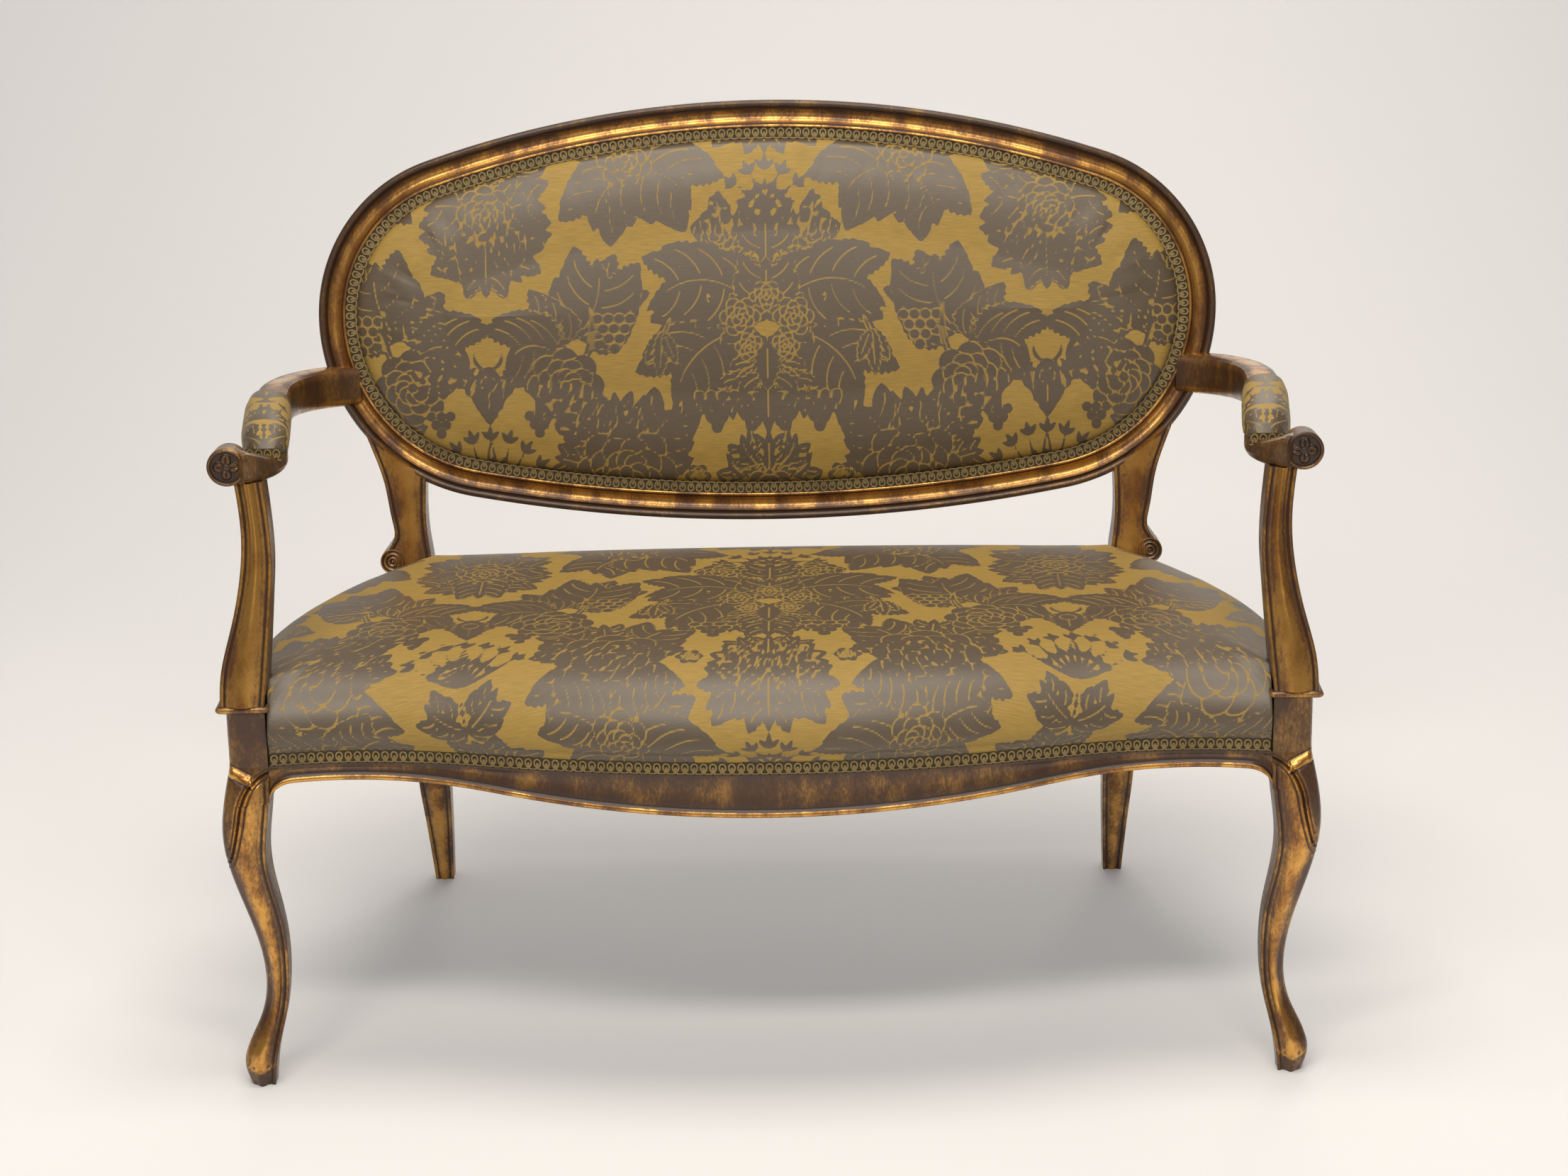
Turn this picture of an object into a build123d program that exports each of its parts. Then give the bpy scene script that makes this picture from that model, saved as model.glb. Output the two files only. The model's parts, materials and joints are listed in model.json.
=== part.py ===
"""An oval-back settee with a carved show-wood frame, open padded arms and a sprung, stuffed-over seat.

Millimetres, +Z up, the sitter looks towards -Y. The origin is on the floor, below the middle of the settee.
"""
from build123d import *
from math import acos, asin, cos, degrees, pi, radians, sin, sqrt
import os

# Overall places
DEPTH = 684.0             # bow of the front rail to the back of the rear feet
POST_GAP = 1064.0         # clear width between the two front posts
REAR_GAP = 796.0          # clear width between the two rear legs at the seat
SIDE_RAIL_LENGTH = 413.0  # front post to rear leg

# Front legs
POST_WIDTH = 42.0
POST_DEPTH = 45.0
POST_TOP = 438.0
KNEE_TOP = 377.0
POST_LOW = 338.0          # lower end of the square post on the inner faces
# how far the edges of the leg stand out from the post, by share of the height up to the knee's top
LEG_OUTER = [(0, 1.5), (0.088, 6.5), (0.194, -10), (0.345, -19), (0.48, -11), (0.61, 1), (0.81, 11), (1, 0)]
LEG_INNER = [(0, 17), (0.125, 10), (0.24, 0), (0.37, -4), (0.505, -2), (0.73, 8), (0.9, 1.5), (1, 1.5)]
LEG_FRONT = [(0, -18), (0.088, -12), (0.194, -24), (0.345, -28), (0.48, -21), (0.61, -8), (0.81, 8), (1, 0)]
LEG_BACK = [(0, 1), (0.125, 5), (0.24, -3), (0.37, -11), (0.505, -6), (0.77, 3), (0.9, 1.5), (1, 1.5)]

# Arm supports
COLLAR_HEIGHT = 8.0
COLLAR_OUT = 10.0         # collar past the outer face of the post
COLLAR_REACH = 3.0        # and past its other faces
COLLAR_ROUND = 3.2
ARM_SEAT = 674.0          # height of the joint between support and arm
# how far the edges of the support stand out from the post, by share of its height
SUPPORT_OUTER = [(0, 5), (0.14, 3), (0.35, -9), (0.56, -19), (0.76, -22), (1, -16)]
SUPPORT_INNER = [(0, 0), (0.21, -5), (0.5, -10.5), (0.62, -12), (0.79, -10), (1, -4)]
SUPPORT_FRONT = [(0, 2), (0.24, -8), (0.5, -24), (0.76, -40), (1, -52)]
SUPPORT_BACK = [(0, 2), (0.24, 5), (0.5, 12), (0.76, 28), (1, 44)]

# Arms
ARM_PAD_SEAT = 696.0      # height of the flat that carries the pad
ARM_FRONT = 52.0          # front of the arm behind the front of the post
HAND_RISE = 15.0          # hand-hold above the flat
HAND_REACH = 23.0
# plan of the arm: distance behind the front of the post, and place out from the post's inner or outer face
ARM_INNER = [(ARM_FRONT, 3), (95, -20), (150, -19), (220, -10), (310, 3), (380, 9)]
ARM_OUTER = [(ARM_FRONT, 6), (95, -18), (150, -12), (220, -2), (310, 4), (380, 4)]
# and at the back, distance behind the front or the rear face of the oval frame
ARM_INNER_END = [(-38, -4), (-4, -42)]
ARM_OUTER_END = [(-22, -16), (0, -84)]
# elevation: distance behind the end of the pad, and height above its flat
ARM_REAR_TOP = [(20, 6), (80, 5)]
ARM_END_TOP = -8.0
ARM_END_LOW = -35.0       # underside at the oval, from the arm's seat
ARM_END_PAST = 5.0
ARM_UNDER = [(110, -17), (250, -10)]   # distance in front of the oval, and height from the arm's seat
ARM_SEAT_LENGTH = 48.0    # flat underside on top of the support
ARM_JOINT_DROP = 9.0      # middle of the arm's end, below its seat
PAD_FROM = 88.0           # start of the pad, behind the front of the post
PAD_LENGTH = 215.0
PAD_RISE = 30.0
PAD_HALF_WIDTH = 26.0
PAD_CENTRE = 9.0          # middle of the pad, out from the inner face of the post
# sections of the pad: share of its length, of its width and of its rise, and shift outwards
PAD_SHAPE = [
    (0, 0.72, 0.35, -11),
    (0.12, 0.93, 0.86, -8.5),
    (0.45, 1, 1, 0),
    (0.85, 0.95, 0.9, 9),
    (1, 0.72, 0.4, 12),
]
VOLUTE_RADIUS = 20.0
VOLUTE_LENGTH = 27.0
VOLUTE_FORWARD = 48.0     # face of the volute, behind the front of the post
VOLUTE_INSET = 10.0       # middle of the volute, in from the outer face of the post
ROSETTE_RADIUS = 15.0
ROSETTE_RELIEF = 3.0
ROSETTE_TAPER = 25.0

# Seat rails
RAIL_TOP = 400.0
RAIL_THICKNESS = 30.0
RAIL_BOTTOM = 350.0       # side and back rails
APRON_LOW = 330.0         # lower edge of the front rail at its middle
APRON_RISE = 29.0
APRON_REACH = 455.0
APRON_RADIUS = 2200.0
RAIL_BOW = 56.0           # middle of the front rail in front of its hollows
RAIL_SETBACK = 6.0        # hollows behind the front of the posts
HOLLOW_REACH = 440.0
BOW_RADIUS = 1250.0
SIDE_BOW = 44.0
SIDE_INSET = 5.0          # side rail behind the outer face of the post
BACK_RAIL_INSET = 35.0    # rear face of the back rail behind the front of the rear leg
BEAD_HEIGHT = 7.0
COVE = 3.0                # hollow face of the rail behind its bead
RABBET = 5.0              # step that the seat cover and gimp lie in
RABBET_HEIGHT = 378.0
LEDGE_HEIGHT = 362.0      # underside of the ledge that carries the webbing
LEDGE_WIDTH = 14.0

# Rear legs and uprights
REAR_WIDTH = 43.0
REAR_DEPTH = 40.0
REAR_FOOT_DEPTH = 25.0
REAR_FOOT_TAPER = 10.0    # foot narrower than the leg on each side
REAR_BLOCK_LOW = 345.0
LEAN_HEIGHT = 422.0       # the upright leaves the vertical here
BACK_RAKE = 10.285        # degrees
UPRIGHT_DEPTH = 33.0
UPRIGHT_LENGTH = 230.0
UPRIGHT_FLARE = 48.0      # outer edge at the oval
EAR_LIFT = 42.0           # scrolled ear above the lean
EAR_HALF = 10.0
EAR_REACH = 17.0

# Oval back
OVAL_LIFT = 83.7          # foot of the upright to the lower edge of the oval, along the rake
OVAL_HALF_WIDTH = 525.0
OVAL_HALF_HEIGHT = 245.0
UPPER_END_RADIUS = 190.0
LOWER_END_RADIUS = 216.5
FRAME_WIDTH = 46.0
FRAME_DEPTH = 30.0
FACE_WIDTH = 32.0         # moulded face, outer edge to upholstery
FACE_BEAD = 8.0
FACE_LIP = 4.0            # flat between the hollow and the upholstery
BEAD_DROP = 4.0
HOLLOW_DROP = 6.5
LIP_DROP = 1.0
BACK_RABBET = 9.0

# Upholstery
CLOTH = 1.5
GIMP = 2.5
GIMP_WIDTH = 12.0
WEB = 2.0
WEB_WIDTH = 50.0
BACK_WEB = 1.2
CANVAS = 1.0
SEAT_CROWN = 482.0
# roll of the seat: share of its rise above the rail, and inset from the rail's face
SEAT_ROLL = [(0.35, -1.5), (0.64, 2), (0.84, 24), (1, 112)]
BACK_CROWN = 22.0
# roll of the back: share of its crown, and inset from its edge
BACK_ROLL = [(0.45, 14), (0.8, 50), (1, 105)]
SPRING_COVER = 50.0       # stuffing over the springs
COIL_SIDES = 8            # straight lengths in a turn of the coil
SPRING_RADIUS = 34.0
SPRING_WIRE = 4.0
SPRING_TURNS = 3
SPRING_COLUMNS = 4
SPRING_ROWS = 2
SPRING_PITCH_X = 230.0
SPRING_PITCH_Y = 180.0
SPRING_MIDDLE = -40.0
CAVITY_INSET = 58.0
OUTSIDE_BACK_INSET = 18.0

# Joints
DOWEL = 8.0
DOWEL_DEPTH = 15.0
DOWEL_LOW = 370.0
DOWEL_STEP = 18.0
DOWEL_FIT = 0.1
DOWEL_END = 1.0
SEAM = 0.2                # between curved or soft pieces that bear on each other
BLOCK_LEG = 70.0
BLOCK_LOW = 366.0
BLOCK_HIGH = 396.0
SCREW = 4.0
SCREW_HEAD = 8.0
SCREW_HEAD_HEIGHT = 3.0
SCREW_BITE = 14.0
SCREW_SHANK = 18.0

# Places that follow from the sizes above
front_y = -DEPTH / 2
hollow_y = front_y + RAIL_BOW
post_front = hollow_y - RAIL_SETBACK
post_rear = post_front + POST_DEPTH
post_inner = POST_GAP / 2
post_outer = post_inner + POST_WIDTH
rear_inner = REAR_GAP / 2
rear_outer = rear_inner + REAR_WIDTH
rear_front = post_rear + SIDE_RAIL_LENGTH
rear_back = rear_front + REAR_DEPTH
back_rail_y = rear_front + BACK_RAIL_INSET
foot_back = DEPTH / 2
collar_top = POST_TOP + COLLAR_HEIGHT
spring_top = SEAT_CROWN - SPRING_COVER
step_inset = COVE + RABBET
cover_inset = step_inset - SEAM - CLOTH
gimp_inset = cover_inset - SEAM - GIMP
far = 2 * DEPTH
rake_tan = sin(radians(BACK_RAKE)) / cos(radians(BACK_RAKE))

# The back leans on this plane: x across, y up along the rake, z towards the sitter, zero at the oval's foot
back_up = Vector(0, sin(radians(BACK_RAKE)), cos(radians(BACK_RAKE)))
back_foot = Vector(0, rear_front, LEAN_HEIGHT) + back_up * OVAL_LIFT
back_plane = Plane(back_foot, x_dir=(1, 0, 0), z_dir=(0, -back_up.Z, back_up.Y))


def serpentine(apex, rise, reach, radius):
    """Centres and radii of a wave: a middle arc with its apex at 0, apex, and a counter arc at each side."""
    total = (reach**2 + rise**2) / (2 * rise)
    middle = Vector(0, apex + radius)
    counter = Vector(reach, apex + rise - (total - radius))
    return middle, radius, counter, total - radius


def mid_arc(centre, radius, start, end):
    """The point halfway along the arc from start to end."""
    way = (start - centre).normalized() + (end - centre).normalized()
    return centre + way.normalized() * radius


def circles_meet(centre_a, radius_a, centre_b, radius_b, near):
    """The crossing of two circles that lies nearest to a point."""
    line = centre_b - centre_a
    along = (line.length**2 + radius_a**2 - radius_b**2) / (2 * line.length)
    off = sqrt(radius_a**2 - along**2)
    unit = line.normalized()
    side = Vector(-unit.Y, unit.X)
    crossings = [centre_a + unit * along + side * off, centre_a + unit * along - side * off]
    return min(crossings, key=lambda point: (point - near).length)


def flip(point):
    return Vector(-point.X, point.Y)


def side_circle():
    """Centre and radius of the bowed side of the seat, at the outer face of the side rail."""
    start = Vector(post_outer - SIDE_INSET, post_rear)
    end = Vector(rear_outer, rear_front)
    chord = end - start
    radius = chord.length**2 / (8 * SIDE_BOW) + SIDE_BOW / 2
    unit = chord.normalized()
    inward = Vector(-unit.Y, unit.X)
    return (start + end) * 0.5 + inward * (radius - SIDE_BOW), radius


def seat_edges(inset):
    """The plan of the seat as six edges, moved inwards by inset: bowed front, hollows, bowed sides, back."""
    middle, bow, counter, hollow = serpentine(front_y, RAIL_BOW, HOLLOW_REACH, BOW_RADIUS)
    side, side_radius = side_circle()
    bow, hollow, side_radius = bow - inset, hollow + inset, side_radius - inset
    join = middle + (counter - middle).normalized() * bow
    corner = circles_meet(counter, hollow, side, side_radius, Vector(post_outer, post_front))
    back_y = back_rail_y - inset
    back = Vector(side.X + sqrt(side_radius**2 - (back_y - side.Y)**2), back_y)
    hollow_mid = mid_arc(counter, hollow, join, corner)
    side_mid = mid_arc(side, side_radius, corner, back)
    ThreePointArc(flip(join), middle - Vector(0, bow), join)
    ThreePointArc(join, hollow_mid, corner)
    ThreePointArc(corner, side_mid, back)
    Line(back, flip(back))
    ThreePointArc(flip(back), flip(side_mid), flip(corner))
    ThreePointArc(flip(corner), flip(hollow_mid), flip(join))


def seat_slab(outer, low, high, inner=None):
    """A slab with the plan of the seat, or a ring where inner is given."""
    with BuildPart() as slab:
        with BuildSketch(Plane.XY.offset(low)):
            with BuildLine():
                seat_edges(outer)
            make_face()
            if inner is not None:
                with BuildLine():
                    seat_edges(inner)
                make_face(mode=Mode.SUBTRACT)
        extrude(amount=high - low)
    return slab.part


def seat_form(shrink, skirt):
    """The stuffed seat: an upright skirt, a rolled edge and a low crown, shrunk all round."""
    rise = SEAT_CROWN - RAIL_TOP
    levels = [(skirt, cover_inset), (RAIL_TOP, cover_inset)]
    levels += [(RAIL_TOP + share * rise, inset) for share, inset in SEAT_ROLL]
    with BuildPart() as form:
        for height, inset in levels:
            drop = shrink if height > RAIL_TOP else 0
            with BuildSketch(Plane.XY.offset(height - drop)):
                with BuildLine():
                    seat_edges(inset + shrink)
                make_face()
        loft(ruled=True)
    return form.part


def oval_arcs(inset):
    """Centres, radii and join angles of the oval: crest, upper end, lower end and bottom, moved inwards."""
    a, b, r, q = OVAL_HALF_WIDTH, OVAL_HALF_HEIGHT, UPPER_END_RADIUS, LOWER_END_RADIUS
    crest = ((a - r)**2 + b**2 - r**2) / (2 * (b - r))
    bottom = ((a - q)**2 + b**2 - q**2) / (2 * (b - q))
    centres = [Vector(0, 2 * b - crest), Vector(a - r, b), Vector(a - q, b), Vector(0, bottom)]
    radii = [crest - inset, r - inset, q - inset, bottom - inset]
    upper_turn = degrees(acos((a - r) / (crest - r)))
    lower_turn = degrees(acos((a - q) / (bottom - q)))
    return centres, radii, upper_turn, lower_turn


def on_circle(centre, radius, angle):
    return centre + Vector(cos(radians(angle)), sin(radians(angle))) * radius


def oval_edges(inset):
    """The oval as six arcs, moved inwards by inset."""
    (crest, upper, lower, bottom), radii, up, down = oval_arcs(inset)
    top_join = on_circle(upper, radii[1], up)
    end = on_circle(upper, radii[1], 0)
    low_join = on_circle(lower, radii[2], -down)
    upper_mid = on_circle(upper, radii[1], up / 2)
    lower_mid = on_circle(lower, radii[2], -down / 2)
    ThreePointArc(flip(top_join), crest + Vector(0, radii[0]), top_join)
    ThreePointArc(top_join, upper_mid, end)
    ThreePointArc(end, lower_mid, low_join)
    ThreePointArc(low_join, bottom - Vector(0, radii[3]), flip(low_join))
    ThreePointArc(flip(low_join), flip(lower_mid), flip(end))
    ThreePointArc(flip(end), flip(upper_mid), flip(top_join))


def oval_slab(outer, low, high, inner=None):
    """A slab with the plan of the oval on the raked back plane, or a ring where inner is given."""
    with BuildPart() as slab:
        with BuildSketch(back_plane.offset(low)):
            with BuildLine():
                oval_edges(outer)
            make_face()
            if inner is not None:
                with BuildLine():
                    oval_edges(inner)
                make_face(mode=Mode.SUBTRACT)
        extrude(amount=high - low)
    return slab.part


def oval_form(edge, shrink, base, foot):
    """The stuffed back: a low dome over the oval, from its foot at the edge inset to a flat crown."""
    levels = [(foot, edge), (base, edge)]
    levels += [(base + share * BACK_CROWN, edge + inset) for share, inset in BACK_ROLL]
    with BuildPart() as form:
        for height, inset in levels:
            drop = shrink if height > base else 0
            with BuildSketch(back_plane.offset(height - drop)):
                with BuildLine():
                    oval_edges(inset + shrink)
                make_face()
        loft(ruled=True)
    return form.part


def frame_arc(centre, radius, start, turn):
    """A length of the oval frame: its moulded section turned about the centre of one arc."""
    radial = back_plane.x_dir * cos(radians(start)) + back_up * sin(radians(start))
    place = back_plane.from_local_coords(centre)
    section = Plane(place, x_dir=radial, z_dir=radial.cross(back_plane.z_dir))
    face_end = radius - FACE_WIDTH
    bead_end = radius - FACE_BEAD
    hollow_end = face_end + FACE_LIP
    hollow_width = bead_end - hollow_end
    with BuildPart() as arc:
        with BuildSketch(section):
            with BuildLine():
                Polyline(
                    (radius, -BEAD_DROP),
                    (radius - 0.2 * FACE_BEAD, -0.3 * BEAD_DROP),
                    (radius - 0.5 * FACE_BEAD, 0),
                    (radius - 0.8 * FACE_BEAD, -0.3 * BEAD_DROP),
                    (bead_end, -BEAD_DROP),
                    (bead_end - 0.3 * hollow_width, -HOLLOW_DROP),
                    (bead_end - 0.7 * hollow_width, -0.85 * HOLLOW_DROP),
                    (hollow_end, -LIP_DROP),
                    (face_end, -LIP_DROP),
                    (face_end, -BACK_RABBET),
                    (radius - FRAME_WIDTH, -BACK_RABBET),
                    (radius - FRAME_WIDTH, -FRAME_DEPTH),
                    (bead_end, -FRAME_DEPTH),
                    (radius, FACE_BEAD - FRAME_DEPTH),
                    close=True,
                )
            make_face()
        revolve(axis=Axis(place, back_plane.z_dir), revolution_arc=turn)
    return arc.part


def sawn(front_inner, front_outer, side_front, side_back):
    """A piece sawn to shape on two faces: edges as height, place pairs seen from the front and the side."""
    with BuildPart() as blank:
        for plane, edge_a, edge_b, mode in (
            (Plane.XZ, front_inner, front_outer, Mode.ADD),
            (Plane.YZ, side_front, side_back, Mode.INTERSECT),
        ):
            with BuildSketch(plane):
                with BuildLine():
                    curve_a = Spline(*[(place, height) for height, place in edge_a])
                    curve_b = Spline(*[(place, height) for height, place in edge_b])
                    Line(curve_a @ 0, curve_b @ 0)
                    Line(curve_a @ 1, curve_b @ 1)
                make_face()
            extrude(amount=far, both=True, mode=mode)
    return blank.part


def block(x_range, y_range, z_range):
    """A plain block between pairs of limits."""
    limits = (x_range, y_range, z_range)
    with BuildPart() as solid:
        with Locations(Vector(*[(low + high) / 2 for low, high in limits])):
            Box(*[high - low for low, high in limits])
    return solid.part


def pegs(planes, radius, length):
    """Pegs shaved to eight sides, along the z direction of each plane, half of each on either side."""
    with BuildPart() as group:
        for plane in planes:
            with BuildSketch(plane.offset(-length / 2)):
                RegularPolygon(radius, side_count=8)
            extrude(amount=length)
    return group.part


def both_sides(planes):
    """The planes and their mirror images across the middle of the settee."""
    images = []
    for plane in planes:
        origin = Vector(-plane.origin.X, plane.origin.Y, plane.origin.Z)
        across = Vector(-plane.z_dir.X, plane.z_dir.Y, plane.z_dir.Z)
        images.append(Plane(origin, z_dir=across))
    return planes + images


# Places of the dowels, each a plane across its joint
x_way, y_way, z_way = Vector(1, 0, 0), Vector(0, 1, 0), Vector(0, 0, 1)
_, _, counter, hollow = serpentine(front_y, RAIL_BOW, HOLLOW_REACH, BOW_RADIUS)
rail_core = (step_inset + RAIL_THICKNESS) / 2
front_dowel_y = counter.Y + sqrt((hollow + rail_core)**2 - (post_inner - counter.X)**2)
side, side_radius = side_circle()
side_core = side_radius - rail_core
front_side_x = side.X + sqrt(side_core**2 - (post_rear - side.Y)**2) + DOWEL / 2
rear_side_x = side.X + sqrt(side_core**2 - (rear_front - side.Y)**2) + DOWEL / 2
rail_joints = []
for height in (DOWEL_LOW, DOWEL_LOW + DOWEL_STEP):
    rail_joints.append(Plane((post_inner, front_dowel_y, height), z_dir=x_way))
    rail_joints.append(Plane((front_side_x, post_rear, height), z_dir=y_way))
    rail_joints.append(Plane((rear_side_x, rear_front, height), z_dir=y_way))
    rail_joints.append(Plane((rear_inner, back_rail_y - rail_core, height), z_dir=x_way))
rail_joints = both_sides(rail_joints)

oval_centres, oval_radii, upper_turn, lower_turn = oval_arcs(0)
core_depth = -(BACK_RABBET + FRAME_DEPTH) / 2
back_joints = []
for index, angle in ((1, upper_turn), (2, -lower_turn)):
    along = back_plane.x_dir * -sin(radians(angle)) + back_up * cos(radians(angle))
    for share in (0.3, 0.7):
        spot = on_circle(oval_centres[index], oval_radii[index] - share * FRAME_WIDTH, angle)
        back_joints.append(Plane(back_plane.from_local_coords((spot.X, spot.Y, core_depth)), z_dir=along))
back_joints = both_sides(back_joints)

lower_centre, lower_radius = oval_centres[2], oval_radii[2]
upright_x = rear_inner + 0.68 * REAR_WIDTH
arm_rear_z = ARM_SEAT - ARM_JOINT_DROP
arm_rise = (arm_rear_z - back_foot.Z) / cos(radians(BACK_RAKE)) - OVAL_HALF_HEIGHT
upright_angle = -degrees(acos((upright_x - lower_centre.X) / lower_radius))
arm_angle = degrees(asin(arm_rise / lower_radius))
stile_joints = []
for angle in (upright_angle, arm_angle):
    spot = on_circle(lower_centre, lower_radius, angle)
    outward = back_plane.x_dir * cos(radians(angle)) + back_up * sin(radians(angle))
    stile_joints.append(Plane(back_plane.from_local_coords((spot.X, spot.Y, core_depth)), z_dir=outward))
stile_joints = both_sides(stile_joints)

support_x = (post_inner + SUPPORT_INNER[-1][1] + post_outer + SUPPORT_OUTER[-1][1]) / 2
support_y = (post_front - SUPPORT_FRONT[-1][1] + post_rear + SUPPORT_BACK[-1][1]) / 2
arm_joints = both_sides(
    [
        Plane(((post_inner + post_outer) / 2, (post_front + post_rear) / 2, POST_TOP), z_dir=z_way),
        Plane((support_x, support_y, ARM_SEAT), z_dir=z_way),
    ]
)

dowel_length = 2 * DOWEL_DEPTH
hole_length = dowel_length + 2 * DOWEL_END
dowel_groups = {
    "rail_dowels": rail_joints,
    "back_frame_dowels": back_joints,
    "stile_dowels": stile_joints,
    "arm_dowels": arm_joints,
}
pieces = {name: pegs(planes, DOWEL / 2, dowel_length) for name, planes in dowel_groups.items()}
holes = {name: pegs(planes, DOWEL / 2 + DOWEL_FIT, hole_length) for name, planes in dowel_groups.items()}

# Corner blocks fill the four inner corners of the seat frame; each is screwed to the two rails it bears on
corner_blocks = {}
post_box = block((post_inner - SEAM, far), (-far, post_rear + SEAM), (0, POST_TOP))
rear_box = block((rear_inner - SEAM, far), (rear_front - SEAM, far), (0, POST_TOP))
frame_inside = seat_slab(RAIL_THICKNESS + SEAM, BLOCK_LOW, BLOCK_HIGH)
block_mid = (BLOCK_LOW + BLOCK_HIGH) / 2
for place, corner_x, corner_y, sign in (
    ("front", post_inner, post_rear, 1),
    ("rear", rear_inner, rear_front, -1),
):
    with BuildPart() as corner:
        with BuildSketch(Plane.XY.offset(BLOCK_LOW)):
            with BuildLine():
                Polyline(
                    (corner_x + BLOCK_LEG, corner_y + sign * BLOCK_LEG),
                    (corner_x + BLOCK_LEG, corner_y - sign * BLOCK_LEG),
                    (corner_x - BLOCK_LEG, corner_y - sign * BLOCK_LEG),
                    (corner_x - BLOCK_LEG, corner_y),
                    (corner_x, corner_y + sign * BLOCK_LEG),
                    close=True,
                )
            make_face()
        extrude(amount=BLOCK_HIGH - BLOCK_LOW)
        add(frame_inside, mode=Mode.INTERSECT)
        add(post_box if place == "front" else rear_box, mode=Mode.SUBTRACT)
    corner_blocks[place] = corner.part

# Screws run square to the front and back rails, one through each block
front_screw_x = post_inner - BLOCK_LEG / 2
front_screw_y = counter.Y + sqrt((hollow + RAIL_THICKNESS)**2 - (front_screw_x - counter.X)**2)
rear_screw_x = rear_inner - BLOCK_LEG / 2
rear_screw_y = back_rail_y - RAIL_THICKNESS
screw_planes = both_sides(
    [
        Plane((front_screw_x, front_screw_y, block_mid), z_dir=-y_way),
        Plane((rear_screw_x, rear_screw_y, block_mid), z_dir=y_way),
    ]
)
with BuildPart() as corner_screws:
    for plane in screw_planes:
        with BuildSketch(plane.offset(-SCREW_SHANK)):
            Circle(SCREW / 2)
        extrude(amount=SCREW_SHANK + SCREW_BITE)
        with BuildSketch(plane.offset(-SCREW_SHANK)):
            RegularPolygon(SCREW_HEAD / 2, side_count=6)
        extrude(amount=-SCREW_HEAD_HEIGHT)
with BuildPart() as screw_holes:
    for plane in screw_planes:
        with BuildSketch(plane.offset(-SCREW_SHANK)):
            RegularPolygon(SCREW / 2 + DOWEL_FIT, side_count=8, major_radius=False)
        extrude(amount=SCREW_SHANK + SCREW_BITE + DOWEL_END)
        with BuildSketch(plane.offset(-SCREW_SHANK)):
            RegularPolygon(SCREW_HEAD / 2 + DOWEL_FIT, side_count=6)
        extrude(amount=-BLOCK_LEG)
pieces["corner_screws"] = corner_screws.part

# Front leg: the cabriole shape is sawn on the front and the side face, below the square post
with BuildPart() as front_leg_right:
    add(
        sawn(
            [(KNEE_TOP * share, post_inner + out) for share, out in LEG_INNER],
            [(KNEE_TOP * share, post_outer + out) for share, out in LEG_OUTER],
            [(KNEE_TOP * share, post_front - out) for share, out in LEG_FRONT],
            [(KNEE_TOP * share, post_rear - out) for share, out in LEG_BACK],
        )
    )
    add(block((post_inner, post_outer), (post_front, post_rear), (POST_LOW, POST_TOP)))
    add(holes["rail_dowels"], mode=Mode.SUBTRACT)
    add(holes["arm_dowels"], mode=Mode.SUBTRACT)

# Arm support: an S in both views, standing on a half-round collar
with BuildPart() as arm_support_right:
    collar_x = (post_inner - COLLAR_REACH + post_outer + COLLAR_OUT) / 2
    with Locations((collar_x, (post_front + post_rear) / 2, POST_TOP + COLLAR_HEIGHT / 2)):
        Box(POST_WIDTH + COLLAR_REACH + COLLAR_OUT, POST_DEPTH + 2 * COLLAR_REACH, COLLAR_HEIGHT)
    collar_edges = arm_support_right.edges().filter_by(Axis.Z, reverse=True)
    fillet(collar_edges, radius=COLLAR_ROUND)
    support_length = ARM_SEAT - collar_top
    add(
        sawn(
            [(collar_top + support_length * share, post_inner + out) for share, out in SUPPORT_INNER],
            [(collar_top + support_length * share, post_outer + out) for share, out in SUPPORT_OUTER],
            [(collar_top + support_length * share, post_front - out) for share, out in SUPPORT_FRONT],
            [(collar_top + support_length * share, post_rear + out) for share, out in SUPPORT_BACK],
        )
    )
    add(holes["arm_dowels"], mode=Mode.SUBTRACT)

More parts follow.
